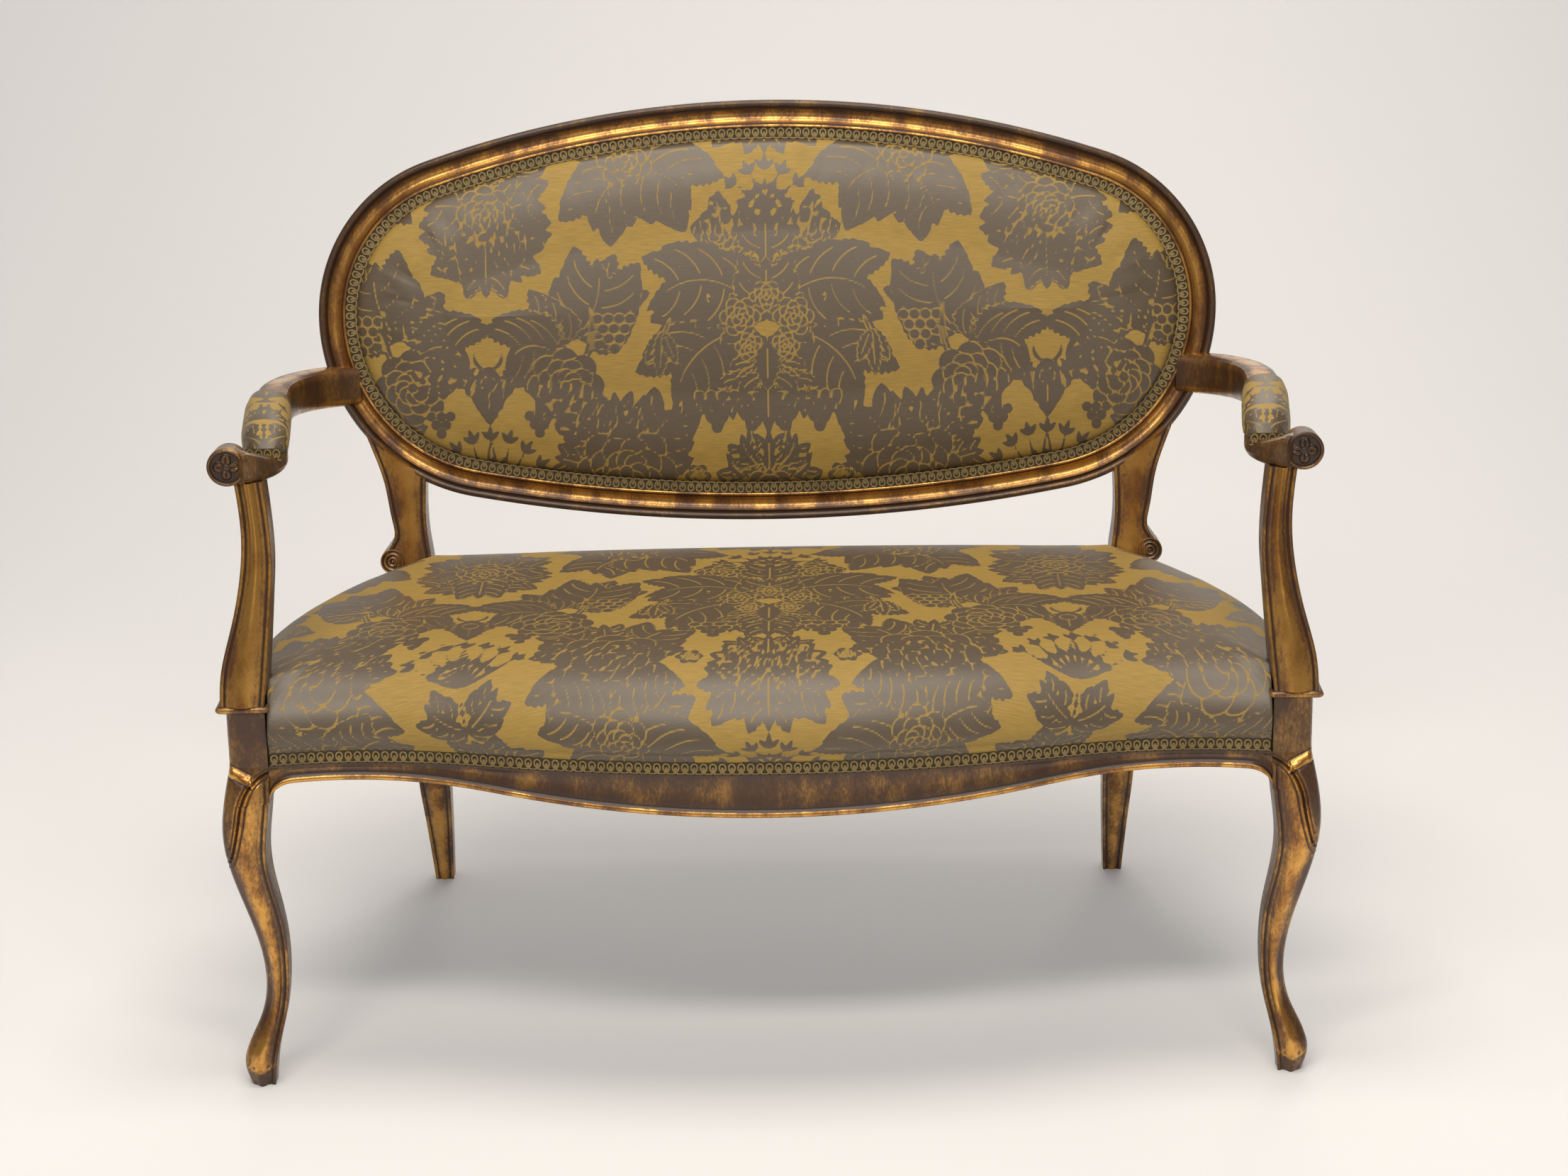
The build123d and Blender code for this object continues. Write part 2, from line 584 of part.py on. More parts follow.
# Arm: sawn in plan and in elevation, with a volute at the hand-hold and a flat for its pad
oval_solid = oval_slab(-SEAM, -far, far)
pad_start = post_front + PAD_FROM
pad_end = pad_start + PAD_LENGTH
stile_y = (Vector(0, rear_front, LEAN_HEIGHT) + back_up * ((arm_rear_z - LEAN_HEIGHT) / back_up.Z)).Y
stile_back = stile_y + FRAME_DEPTH
volute_middle = (post_outer - VOLUTE_INSET, ARM_SEAT + VOLUTE_RADIUS)
volute_face = post_front + VOLUTE_FORWARD
arm_front = post_front + ARM_FRONT
arm_end = stile_back + ARM_END_PAST
with BuildPart() as arm_right:
    with BuildSketch(Plane.XY):
        with BuildLine():
            inner_plan = [(post_inner + out, post_front + along) for along, out in ARM_INNER]
            inner_plan += [(post_inner + out, stile_y + along) for along, out in ARM_INNER_END]
            outer_plan = [(post_outer + out, post_front + along) for along, out in ARM_OUTER]
            outer_plan += [(post_outer + out, stile_back + along) for along, out in ARM_OUTER_END]
            inner_edge = Spline(*inner_plan)
            outer_edge = Spline(*outer_plan)
            Line(inner_edge @ 0, outer_edge @ 0)
            Line(inner_edge @ 1, outer_edge @ 1)
        make_face()
    extrude(amount=far)
    with BuildSketch(Plane.YZ):
        with BuildLine():
            hand_top = ARM_PAD_SEAT + HAND_RISE
            front_end = Line((arm_front, ARM_SEAT), (arm_front, hand_top))
            flat_start = (pad_start - GIMP_WIDTH - 2 * SEAM, ARM_PAD_SEAT)
            hand_mid = (arm_front + HAND_REACH / 2, hand_top - HAND_RISE / 8)
            hand_hold = Spline(front_end @ 1, hand_mid, flat_start)
            pad_flat = Line(hand_hold @ 1, (pad_end, ARM_PAD_SEAT))
            rear_points = [(pad_end + along, ARM_PAD_SEAT + up) for along, up in ARM_REAR_TOP]
            rear_top = Spline(pad_flat @ 1, *rear_points, (arm_end, ARM_PAD_SEAT + ARM_END_TOP))
            rear_end = Line(rear_top @ 1, (arm_end, ARM_SEAT + ARM_END_LOW))
            under_points = [(stile_y - along, ARM_SEAT + up) for along, up in ARM_UNDER]
            under = Spline(rear_end @ 1, *under_points, (arm_front + ARM_SEAT_LENGTH, ARM_SEAT))
            Line(under @ 1, front_end @ 0)
        make_face()
    extrude(amount=far, both=True, mode=Mode.INTERSECT)
    with BuildSketch(Plane.XZ.offset(-volute_face)):
        with Locations(volute_middle):
            Circle(VOLUTE_RADIUS)
    extrude(amount=-VOLUTE_LENGTH)
    with BuildSketch(Plane.XZ.offset(-volute_face)):
        with Locations(volute_middle):
            Circle(ROSETTE_RADIUS)
    extrude(amount=ROSETTE_RELIEF, taper=ROSETTE_TAPER)
    add(oval_solid, mode=Mode.SUBTRACT)
    add(holes["stile_dowels"], mode=Mode.SUBTRACT)
    add(holes["arm_dowels"], mode=Mode.SUBTRACT)

# Rear leg: one timber from the floor to the oval, raked back below the seat and leaning with the back above it
upright_top = LEAN_HEIGHT + UPRIGHT_LENGTH
upright_front = rear_front + UPRIGHT_LENGTH * rake_tan
ear_height = LEAN_HEIGHT + EAR_LIFT
neck = upright_top - ear_height
with BuildPart() as rear_leg_right:
    foot_front = foot_back - REAR_FOOT_DEPTH
    sweep_front = foot_front - rear_front
    sweep_back = foot_back - rear_back
    foot_taper = [(0, 1), (0.4, 0.3), (1, 0)]
    leg_sweep = [(0, 1), (0.23, 0.8), (0.46, 0.54), (0.7, 0.285), (0.87, 0.11), (1, 0)]
    add(
        sawn(
            [(REAR_BLOCK_LOW * up, rear_inner + REAR_FOOT_TAPER * out) for up, out in foot_taper],
            [(REAR_BLOCK_LOW * up, rear_outer - REAR_FOOT_TAPER * out) for up, out in foot_taper],
            [(REAR_BLOCK_LOW * up, rear_front + sweep_front * out) for up, out in leg_sweep],
            [(REAR_BLOCK_LOW * up, rear_back + sweep_back * out) for up, out in leg_sweep],
        )
    )
    add(block((rear_inner, rear_outer), (rear_front, rear_back), (REAR_BLOCK_LOW, LEAN_HEIGHT)))
    add(
        sawn(
            [
                (LEAN_HEIGHT, rear_inner),
                (ear_height, rear_inner + 0.15 * EAR_REACH),
                (ear_height + 2.5 * EAR_HALF, rear_inner + 0.35 * EAR_REACH),
                (upright_top, rear_inner + 0.4 * EAR_REACH),
            ],
            [
                (LEAN_HEIGHT, rear_outer),
                (ear_height - EAR_HALF, rear_outer + 0.75 * EAR_REACH),
                (ear_height, rear_outer + EAR_REACH),
                (ear_height + EAR_HALF, rear_outer + 0.7 * EAR_REACH),
                (ear_height + 2.2 * EAR_HALF, rear_outer + 0.25 * EAR_REACH),
                (ear_height + 0.48 * neck, rear_outer + 0.27 * UPRIGHT_FLARE),
                (ear_height + 0.735 * neck, rear_outer + 0.62 * UPRIGHT_FLARE),
                (upright_top, rear_outer + UPRIGHT_FLARE),
            ],
            [(LEAN_HEIGHT, rear_front), (upright_top, upright_front)],
            [
                (LEAN_HEIGHT, rear_back),
                (ear_height, rear_front + EAR_LIFT * rake_tan + (REAR_DEPTH + UPRIGHT_DEPTH) / 2),
                (upright_top, upright_front + UPRIGHT_DEPTH),
            ],
        )
    )
    add(oval_solid, mode=Mode.SUBTRACT)
    add(holes["rail_dowels"], mode=Mode.SUBTRACT)
    add(holes["stile_dowels"], mode=Mode.SUBTRACT)

# Seat rails share one section: bead, hollow face, rabbet for the cover, and a ledge for the webbing
ledge_inset = RAIL_THICKNESS - LEDGE_WIDTH
with BuildPart() as rail_stock:
    add(seat_slab(COVE, APRON_LOW, LEDGE_HEIGHT, ledge_inset))
    add(seat_slab(COVE, LEDGE_HEIGHT, RABBET_HEIGHT, RAIL_THICKNESS))
    add(seat_slab(step_inset, RABBET_HEIGHT, RAIL_TOP, RAIL_THICKNESS))


def apron_edges(lift):
    """The lower edge of the front rail, lifted: a dropped middle with a hollow towards each leg."""
    middle, drop, counter_arc, rise = serpentine(APRON_LOW + lift, APRON_RISE, APRON_REACH, APRON_RADIUS)
    join = middle + (counter_arc - middle).normalized() * drop
    end = Vector(post_outer, counter_arc.Y + sqrt(rise**2 - (post_outer - counter_arc.X)**2))
    mid = mid_arc(counter_arc, rise, join, end)
    ThreePointArc(flip(end), flip(mid), flip(join))
    ThreePointArc(flip(join), middle - Vector(0, drop), join)
    ThreePointArc(join, mid, end)
    return end


front_span = block((-post_inner, post_inner), (-far, post_rear + POST_DEPTH / 2), (0, RAIL_TOP))
with BuildPart() as apron:
    add(rail_stock.part)
    with BuildSketch(Plane.XZ):
        with BuildLine():
            edge_end = apron_edges(0)
            Polyline(edge_end, (edge_end.X, 0), (-edge_end.X, 0), flip(edge_end))
        make_face()
    extrude(amount=far, both=True, mode=Mode.SUBTRACT)
with BuildPart() as apron_bead:
    add(seat_slab(0, 0, RAIL_TOP, ledge_inset))
    with BuildSketch(Plane.XZ):
        with BuildLine():
            low_end = apron_edges(0)
            high_end = apron_edges(BEAD_HEIGHT)
            Line(low_end, high_end)
            Line(flip(low_end), flip(high_end))
        make_face()
    extrude(amount=far, both=True, mode=Mode.INTERSECT)
with BuildPart() as front_rail:
    add(apron.part)
    add(apron_bead.part)
    add(front_span, mode=Mode.INTERSECT)
    add(holes["rail_dowels"], mode=Mode.SUBTRACT)
    add(screw_holes.part, mode=Mode.SUBTRACT)

with BuildPart() as plain_rails:
    add(rail_stock.part)
    add(seat_slab(0, RAIL_BOTTOM, RAIL_BOTTOM + BEAD_HEIGHT, ledge_inset))
    add(block((-far, far), (-far, far), (RAIL_BOTTOM, RAIL_TOP)), mode=Mode.INTERSECT)
    add(holes["rail_dowels"], mode=Mode.SUBTRACT)
    add(screw_holes.part, mode=Mode.SUBTRACT)
with BuildPart() as side_rail_right:
    add(plain_rails.part)
    add(block((0, far), (post_rear, rear_front), (0, RAIL_TOP)), mode=Mode.INTERSECT)
    add(front_span, mode=Mode.SUBTRACT)
with BuildPart() as back_rail:
    add(plain_rails.part)
    add(block((-rear_inner, rear_inner), (rear_front, far), (0, RAIL_TOP)), mode=Mode.INTERSECT)

# Oval back frame: four lengths that meet where its arcs meet
crest_arc, upper_arc, lower_arc, bottom_arc = zip(oval_centres, oval_radii)
crest_turn = 2 * (90 - upper_turn)
bottom_turn = 2 * (90 - lower_turn)
back_holes = [holes["back_frame_dowels"], holes["stile_dowels"]]
with BuildPart() as crest_rail:
    add(frame_arc(*crest_arc, upper_turn, crest_turn))
    add(back_holes, mode=Mode.SUBTRACT)
with BuildPart() as bottom_rail:
    add(frame_arc(*bottom_arc, -90 - bottom_turn / 2, bottom_turn))
    add(back_holes, mode=Mode.SUBTRACT)
with BuildPart() as back_stile_right:
    add(frame_arc(*upper_arc, 0, upper_turn))
    add(frame_arc(*lower_arc, -lower_turn, lower_turn))
    add(back_holes, mode=Mode.SUBTRACT)

# Seat upholstery, from the floor side up
web_inset = RAIL_THICKNESS - LEDGE_WIDTH + 4
spring_xs = [SPRING_PITCH_X * (i - (SPRING_COLUMNS - 1) / 2) for i in range(SPRING_COLUMNS)]
spring_ys = [SPRING_MIDDLE + SPRING_PITCH_Y * (i - (SPRING_ROWS - 1) / 2) for i in range(SPRING_ROWS)]
with BuildPart() as seat_webbing:
    for level, spots, size in (
        (LEDGE_HEIGHT - WEB, [(x, 0) for x in spring_xs], (WEB_WIDTH, far)),
        (LEDGE_HEIGHT - 2 * WEB, [(0, y) for y in spring_ys], (2 * far, WEB_WIDTH)),
    ):
        with BuildSketch(Plane.XY.offset(level)):
            with BuildLine():
                seat_edges(web_inset)
            make_face()
            with BuildSketch(mode=Mode.PRIVATE) as straps:
                with Locations(*spots):
                    Rectangle(*size)
            add(straps.sketch, mode=Mode.INTERSECT)
        extrude(amount=WEB)

with BuildPart() as spring:
    corners = SPRING_TURNS * COIL_SIDES
    foot = LEDGE_HEIGHT + 0.5 * SPRING_WIRE + 2 * SEAM
    climb = (spring_top - LEDGE_HEIGHT - SPRING_WIRE - 5 * SEAM) / corners
    turn_step = 2 * pi / COIL_SIDES
    coil_points = [
        Vector(SPRING_RADIUS * cos(i * turn_step), SPRING_RADIUS * sin(i * turn_step), foot + i * climb)
        for i in range(corners + 1)
    ]
    with BuildLine() as coil:
        Polyline(*coil_points)
    with BuildSketch(Plane(coil_points[0], z_dir=coil_points[1] - coil_points[0])):
        Rectangle(SPRING_WIRE, SPRING_WIRE)
    sweep(path=coil.wire(), transition=Transition.RIGHT)
with BuildPart() as seat_springs:
    with Locations(*[(x, y, 0) for x in spring_xs for y in spring_ys]):
        add(spring.part)

upholstery_gaps = [
    block((post_inner - SEAM, far), (-far, post_rear + SEAM), (0, POST_TOP)),
    block((post_inner - 10, far), (-far, post_rear + 10), (POST_TOP - SEAM, 2 * POST_TOP)),
    block((rear_inner - SEAM, far), (rear_front - SEAM, far), (0, 2 * POST_TOP)),
]
with BuildPart() as corner_gaps:
    for gap in upholstery_gaps:
        add(gap)
        mirror(gap, about=Plane.YZ)

with BuildPart() as spring_canvas:
    add(seat_slab(CAVITY_INSET, spring_top, spring_top + CANVAS))
with BuildPart() as seat_stuffing:
    add(seat_form(CLOTH + SEAM, RAIL_TOP - 1))
    add(seat_slab(0, RABBET_HEIGHT, RAIL_TOP), mode=Mode.SUBTRACT)
    add(seat_slab(CAVITY_INSET - SEAM, RAIL_TOP, spring_top + CANVAS), mode=Mode.SUBTRACT)
    add(corner_gaps.part, mode=Mode.SUBTRACT)
with BuildPart() as seat_cover:
    add(seat_form(0, RABBET_HEIGHT + 1))
    add(seat_form(CLOTH, RABBET_HEIGHT), mode=Mode.SUBTRACT)
    add(corner_gaps.part, mode=Mode.SUBTRACT)
with BuildPart() as seat_gimp:
    gimp_low = RABBET_HEIGHT + SEAM
    add(seat_slab(gimp_inset, gimp_low, gimp_low + GIMP_WIDTH, gimp_inset + GIMP))
    add(corner_gaps.part, mode=Mode.SUBTRACT)
with BuildPart() as dust_cover:
    dust_low = LEDGE_HEIGHT - 2 * WEB - CANVAS
    add(seat_slab(ledge_inset + SEAM, dust_low, dust_low + CANVAS))
    add(corner_gaps.part, mode=Mode.SUBTRACT)

# Back upholstery, from the frame's rabbet towards the sitter
web_back = -BACK_RABBET
web_front = web_back + 2 * BACK_WEB
margin_back = web_front + CANVAS + SEAM
margin_front = margin_back + CLOTH
dome_edge = FACE_WIDTH + GIMP_WIDTH + 1
with BuildPart() as back_webbing:
    column_pitch = OVAL_HALF_WIDTH * 2 / 7
    columns = [(column_pitch * (i - 2.5), OVAL_HALF_HEIGHT) for i in range(6)]
    rows = [(0, OVAL_HALF_HEIGHT + OVAL_HALF_HEIGHT * 0.55 * (i - 1)) for i in range(3)]
    for level, spots, size in (
        (web_back, rows, (2 * far, WEB_WIDTH)),
        (web_back + BACK_WEB, columns, (WEB_WIDTH, far)),
    ):
        with BuildSketch(back_plane.offset(level)):
            with BuildLine():
                oval_edges(FACE_WIDTH + 6)
            make_face()
            with BuildSketch(mode=Mode.PRIVATE) as back_straps:
                with Locations(*spots):
                    Rectangle(*size)
            add(back_straps.sketch, mode=Mode.INTERSECT)
        extrude(amount=BACK_WEB)
with BuildPart() as back_canvas:
    add(oval_slab(FACE_WIDTH + 4, web_front, web_front + CANVAS))
with BuildPart() as back_stuffing:
    add(oval_form(dome_edge + CLOTH + SEAM, CLOTH + SEAM, margin_front, web_front + CANVAS))
with BuildPart() as back_cover:
    add(oval_slab(FACE_WIDTH + SEAM, margin_back, margin_front))
    add(oval_form(dome_edge, 0, margin_front, margin_back))
    add(oval_form(dome_edge + CLOTH, CLOTH, margin_front, margin_back - CLOTH), mode=Mode.SUBTRACT)
with BuildPart() as back_gimp:
    gimp_edge = FACE_WIDTH + 2 * SEAM
    add(oval_slab(gimp_edge, margin_front, margin_front + GIMP, gimp_edge + GIMP_WIDTH))
with BuildPart() as outside_back:
    add(oval_slab(OUTSIDE_BACK_INSET, -FRAME_DEPTH - CLOTH, -FRAME_DEPTH))
with BuildPart() as outside_back_gimp:
    low = -FRAME_DEPTH - CLOTH - GIMP
    add(oval_slab(OUTSIDE_BACK_INSET, low, low + GIMP, OUTSIDE_BACK_INSET + GIMP_WIDTH))

# Arm pads: a stuffed roll on the flat of each arm, drawn in at both ends
pad_x = post_inner + PAD_CENTRE
with BuildPart() as arm_pad_right:
    for share, wide, high, shift in PAD_SHAPE:
        w, h = PAD_HALF_WIDTH * wide, PAD_RISE * high
        with BuildSketch(Plane.XZ.offset(-(pad_start + share * PAD_LENGTH))):
            with BuildLine():
                left = Vector(pad_x + shift - w, ARM_PAD_SEAT)
                right = Vector(pad_x + shift + w, ARM_PAD_SEAT)
                shoulder = Vector(0.72 * w, 0.74 * h)
                crown = Vector(pad_x + shift, ARM_PAD_SEAT + h)
                top_right = Vector(pad_x + shift, ARM_PAD_SEAT) + shoulder
                top_left = top_right - Vector(2 * shoulder.X, 0)
                Line(left, right)
                ThreePointArc(right, right + Vector(-0.04 * w, 0.42 * h), top_right)
                ThreePointArc(top_right, crown, top_left)
                ThreePointArc(top_left, left + Vector(0.04 * w, 0.42 * h), left)
            make_face()
    loft(ruled=True)
with BuildPart() as arm_gimp_right:
    front_share, front_shift = PAD_SHAPE[0][1], PAD_SHAPE[0][3]
    with Locations((pad_x + front_shift, pad_start - GIMP_WIDTH / 2 - SEAM, ARM_PAD_SEAT + GIMP / 2)):
        Box(2 * front_share * PAD_HALF_WIDTH, GIMP_WIDTH, GIMP)

# Every piece by name; the left hand ones are mirror images
pieces.update(
    {
        "front_rail": front_rail.part,
        "back_rail": back_rail.part,
        "crest_rail": crest_rail.part,
        "bottom_rail": bottom_rail.part,
        "seat_webbing": seat_webbing.part,
        "seat_springs": seat_springs.part,
        "spring_canvas": spring_canvas.part,
        "seat_stuffing": seat_stuffing.part,
        "seat_cover": seat_cover.part,
        "seat_gimp": seat_gimp.part,
        "dust_cover": dust_cover.part,
        "back_webbing": back_webbing.part,
        "back_canvas": back_canvas.part,
        "back_stuffing": back_stuffing.part,
        "back_cover": back_cover.part,
        "back_gimp": back_gimp.part,
        "outside_back": outside_back.part,
        "outside_back_gimp": outside_back_gimp.part,
    }
)
handed = {
    "front_leg": front_leg_right.part,
    "rear_leg": rear_leg_right.part,
    "side_rail": side_rail_right.part,
    "arm_support": arm_support_right.part,
    "arm": arm_right.part,
    "arm_pad": arm_pad_right.part,
    "arm_gimp": arm_gimp_right.part,
    "back_stile": back_stile_right.part,
}
for place, solid in corner_blocks.items():
    with BuildPart() as drilled:
        add(solid)
        add(screw_holes.part, mode=Mode.SUBTRACT)
    handed[f"corner_block_{place}"] = drilled.part
for name, solid in handed.items():
    with BuildPart() as left_hand:
        mirror(solid, about=Plane.YZ)
    pieces[f"{name}_right"] = solid
    pieces[f"{name}_left"] = left_hand.part

os.makedirs("parts", exist_ok=True)
for name, solid in pieces.items():
    solid.label = name
    export_step(solid, f"parts/{name}.step")
print(len(pieces), "pieces written")
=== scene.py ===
# %% [markdown]
# # A gilded settee with an oval back
# The settee has a carved, gilded frame, a tight sprung seat and an oval padded back in damask. The
# packed model gives the frame that everything is built around: its nodes are in metres, with the floor
# at zero and the sitter looking towards minus y.

# %% Load the frame
import json
import bpy
import numpy as np
from mathutils import Matrix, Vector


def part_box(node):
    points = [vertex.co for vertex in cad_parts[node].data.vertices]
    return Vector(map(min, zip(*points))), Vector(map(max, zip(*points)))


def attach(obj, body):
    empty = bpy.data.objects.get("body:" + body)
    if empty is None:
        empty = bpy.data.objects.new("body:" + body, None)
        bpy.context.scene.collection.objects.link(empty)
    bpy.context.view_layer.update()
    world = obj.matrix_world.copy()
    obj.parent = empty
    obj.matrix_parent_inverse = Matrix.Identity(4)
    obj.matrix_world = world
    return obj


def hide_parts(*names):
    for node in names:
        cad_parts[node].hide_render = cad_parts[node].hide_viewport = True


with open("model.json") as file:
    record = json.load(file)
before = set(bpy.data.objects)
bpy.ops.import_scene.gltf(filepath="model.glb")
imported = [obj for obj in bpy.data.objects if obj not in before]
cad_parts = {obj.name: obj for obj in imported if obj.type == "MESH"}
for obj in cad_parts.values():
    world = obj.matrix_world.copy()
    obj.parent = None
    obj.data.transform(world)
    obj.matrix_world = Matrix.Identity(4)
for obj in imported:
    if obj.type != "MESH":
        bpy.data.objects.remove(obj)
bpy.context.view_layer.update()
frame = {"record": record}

# %% [markdown]
# ## The camera
# The photograph was taken from in front and a little above, with a long lens. The place and the three
# turns below come from a fit of mirrored points, such as the two feet and the two arm ends. A camera
# looks along its own minus z, so its matrix has the picture's right, the picture's up and the way back
# as columns.

# %% Place the camera
CAMERA_PLACE = (0.0445, -3.7608, 1.6542)
PITCH, YAW, ROLL = 0.3035, -0.0076, -0.0178
FOCAL_PIXELS = 4917.6
PHOTO_PIXELS = 2212

ahead = np.array([np.sin(YAW) * np.cos(PITCH), np.cos(YAW) * np.cos(PITCH), -np.sin(PITCH)])
level = np.array([np.cos(YAW), -np.sin(YAW), 0.0])
rising = np.cross(level, ahead)
stand = np.eye(4)
stand[:3, 0] = np.cos(ROLL) * level + np.sin(ROLL) * rising
stand[:3, 1] = np.cos(ROLL) * rising - np.sin(ROLL) * level
stand[:3, 2] = -ahead
stand[:3, 3] = CAMERA_PLACE
lens = bpy.data.cameras.new("camera")
lens.sensor_fit = "HORIZONTAL"
lens.sensor_width = 36
lens.lens = 36 * FOCAL_PIXELS / PHOTO_PIXELS
camera = bpy.data.objects.new("camera", lens)
camera.matrix_world = Matrix(stand.tolist())
bpy.context.scene.collection.objects.link(camera)
bpy.context.scene.camera = camera
print("lens", round(lens.lens, 2), "mm")

# %% [markdown]
# ## Surfaces from arrays
# Every piece below is a grid of points: rows along the piece, columns round its section. Whole arrays
# are worked out at once and handed to the mesh, which is faster and easier to read than moving points
# one by one. Sizes are in millimetres, like a maker's drawing, and are scaled once here. A closed shape
# whose faces look inwards has a negative volume, so the sign of the volume tells which way to turn
# them.

# %% Faces between the points of a grid
MM = 0.001


def grid_faces(rows, columns, around=True):
    """Quads between neighbouring rows and columns of a grid; around joins the last column to the first."""
    row, column = np.meshgrid(np.arange(rows - 1), np.arange(columns - (not around)), indexing="ij")
    here, there = row * columns, (row + 1) * columns
    beside = (column + 1) % columns
    corners = (here + column, here + beside, there + beside, there + column)
    return np.stack(corners, -1).reshape(-1, 4)


print("faces of a tube of 3 rings of 8:", len(grid_faces(3, 8)))

# %% Closed bars and pads
def volume(points, faces):
    """Signed volume: a . (b x c) / 6 summed over triangles that fan out from each face's first corner."""
    total = 0.0
    for group in faces:
        a = points[group[:, 0]]
        for k in range(1, group.shape[1] - 1):
            total += np.einsum("ij,ij->", a, np.cross(points[group[:, k]], points[group[:, k + 1]])) / 6
    return total


def bar(points, dark=0.0):
    """A closed bar: points[row, column] walks round each section, and both end sections are capped."""
    rows, columns = points.shape[:2]
    cap = np.arange(columns)[None]
    faces = [grid_faces(rows, columns), cap[:, ::-1], cap + (rows - 1) * columns]
    flat = points.reshape(-1, 3)
    if volume(flat, faces) < 0:
        faces = [group[:, ::-1] for group in faces]
    return flat, faces, {"dark": np.broadcast_to(dark, (rows, columns)).ravel()}


def sewn(columns):
    """For each column of a row that is folded in two, the column that it is joined to."""
    beside = np.arange(columns)
    return np.minimum(beside, (columns // 2 - beside) % columns)


def cushion(points, sewn_first=False):
    """A closed pad: its last row lies on a line and is sewn to itself; the first is capped or sewn too."""
    rows, columns = points.shape[:2]
    index = np.arange(rows * columns)
    index[-columns:] = (rows - 1) * columns + sewn(columns)
    if sewn_first:
        index[:columns] = sewn(columns)
    faces = [index[grid_faces(rows, columns)]]
    if not sewn_first:
        faces.append(index[None, columns - 1::-1])
    used = np.unique(faces[0])
    place = np.zeros(rows * columns, int)
    place[used] = np.arange(len(used))
    faces = [place[group] for group in faces]
    if volume(points.reshape(-1, 3)[used], faces) < 0:
        faces = [group[:, ::-1] for group in faces]
    return used, faces


def cloth_part(points, flat, shift, sewn_first=False):
    """A pad or sheet with the damask's fields; shift moves its flat coordinates within the repeat."""
    used, faces = cushion(points, sewn_first)
    flat = flat.reshape(-1, 2)[used]
    figure, line = damask_fields(flat + shift)
    return points.reshape(-1, 3)[used], faces, {"figure": figure, "line": line, "cloth": flat}


def to_and_fro(columns):
    """A wave of straight slopes once round the columns, 0, 1, 0, -1: places along the middle line."""
    return np.arcsin(np.sin(2 * np.pi * np.arange(columns) / columns)) * 2 / np.pi


print("columns that meet when a ring of 8 is sewn:", sewn(8))

# %% From parts to an object
def mirrored(part):
    """The same part on the other side of the plane x = 0, with its faces turned to look outwards again."""
    points, faces, fields = part
    return points * [-1, 1, 1], [group[:, ::-1] for group in faces], fields


def make_piece(name, parts, material, replaced=(), sharp=50):
    """One object from parts of points, face groups and values; edges over the sharp angle stay crisp."""
    starts = np.cumsum([0] + [len(part[0]) for part in parts])
    groups = [group + first for part, first in zip(parts, starts) for group in part[1]]
    corners = np.concatenate([group.ravel() for group in groups])
    sides = np.concatenate([np.full(len(group), group.shape[1]) for group in groups])
    mesh = bpy.data.meshes.new(name)
    mesh.vertices.add(int(starts[-1]))
    mesh.vertices.foreach_set("co", np.concatenate([part[0] for part in parts]).ravel() * MM)
    mesh.loops.add(len(corners))
    mesh.loops.foreach_set("vertex_index", corners.astype(np.int32))
    mesh.polygons.add(len(sides))
    mesh.polygons.foreach_set("loop_start", (np.cumsum(sides) - sides).astype(np.int32))
    mesh.polygons.foreach_set("use_smooth", np.ones(len(sides), bool))
    mesh.update(calc_edges=True)
    mesh.set_sharp_from_angle(angle=np.radians(sharp))
    for field in parts[0][2]:
        values = np.concatenate([part[2][field] for part in parts])
        if values.ndim == 2:
            cloth = mesh.uv_layers.new(name=field)
            cloth.data.foreach_set("uv", (values[corners] * MM).ravel())
        else:
            mesh.attributes.new(field, "FLOAT", "POINT").data.foreach_set("value", values)
    mesh.materials.append(material)
    piece = bpy.data.objects.new(name, mesh)
    bpy.context.scene.collection.objects.link(piece)
    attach(piece, "root")
    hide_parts(*replaced)
    print(name, len(mesh.vertices), "points", len(sides), "faces")
    return piece


def make_pair(name, finish, parts, material):
    """The right-hand piece and its mirror image, each in place of the node with its name."""
    for side, made in (("right", parts), ("left", [mirrored(part) for part in parts])):
        make_piece(f"{name}_{side}_{finish}", made, material, [f"{name}_{side}"])


# %% A smooth curve through points
def smooth_curve(knots, values, at):
    """Natural cubic through the knots: its bends solve one linear system, and each span has its cubic."""
    x, y = np.asarray(knots, float), np.asarray(values, float)
    span = np.diff(x)
    system, load = np.eye(len(x)), np.zeros(len(x))
    i = np.arange(1, len(x) - 1)
    system[i, i - 1] = span[:-1] / 6
    system[i, i] = (span[:-1] + span[1:]) / 3
    system[i, i + 1] = span[1:] / 6
    load[1:-1] = np.diff(np.diff(y) / span)
    bend = np.linalg.solve(system, load)
    k = np.clip(np.searchsorted(x, at) - 1, 0, len(x) - 2)
    after, before, width = at - x[k], x[k + 1] - at, span[k]
    cubic = (bend[k] * before**3 + bend[k + 1] * after**3) / (6 * width)
    from_first = (y[k] / width - bend[k] * width / 6) * before
    from_second = (y[k + 1] / width - bend[k + 1] * width / 6) * after
    return cubic + from_first + from_second


print("curve through 0, 1, 0 a quarter along:", smooth_curve([0, 1, 2], [0, 1, 0], np.array([0.5])))

# %% [markdown]
# ## Writing materials as sums
# A material is a network of small nodes. Wiring them one by one hides the idea, so this class wraps one
# socket and lets plain arithmetic add the Math nodes. Everything else, such as a noise or a ramp, has a
# short method.

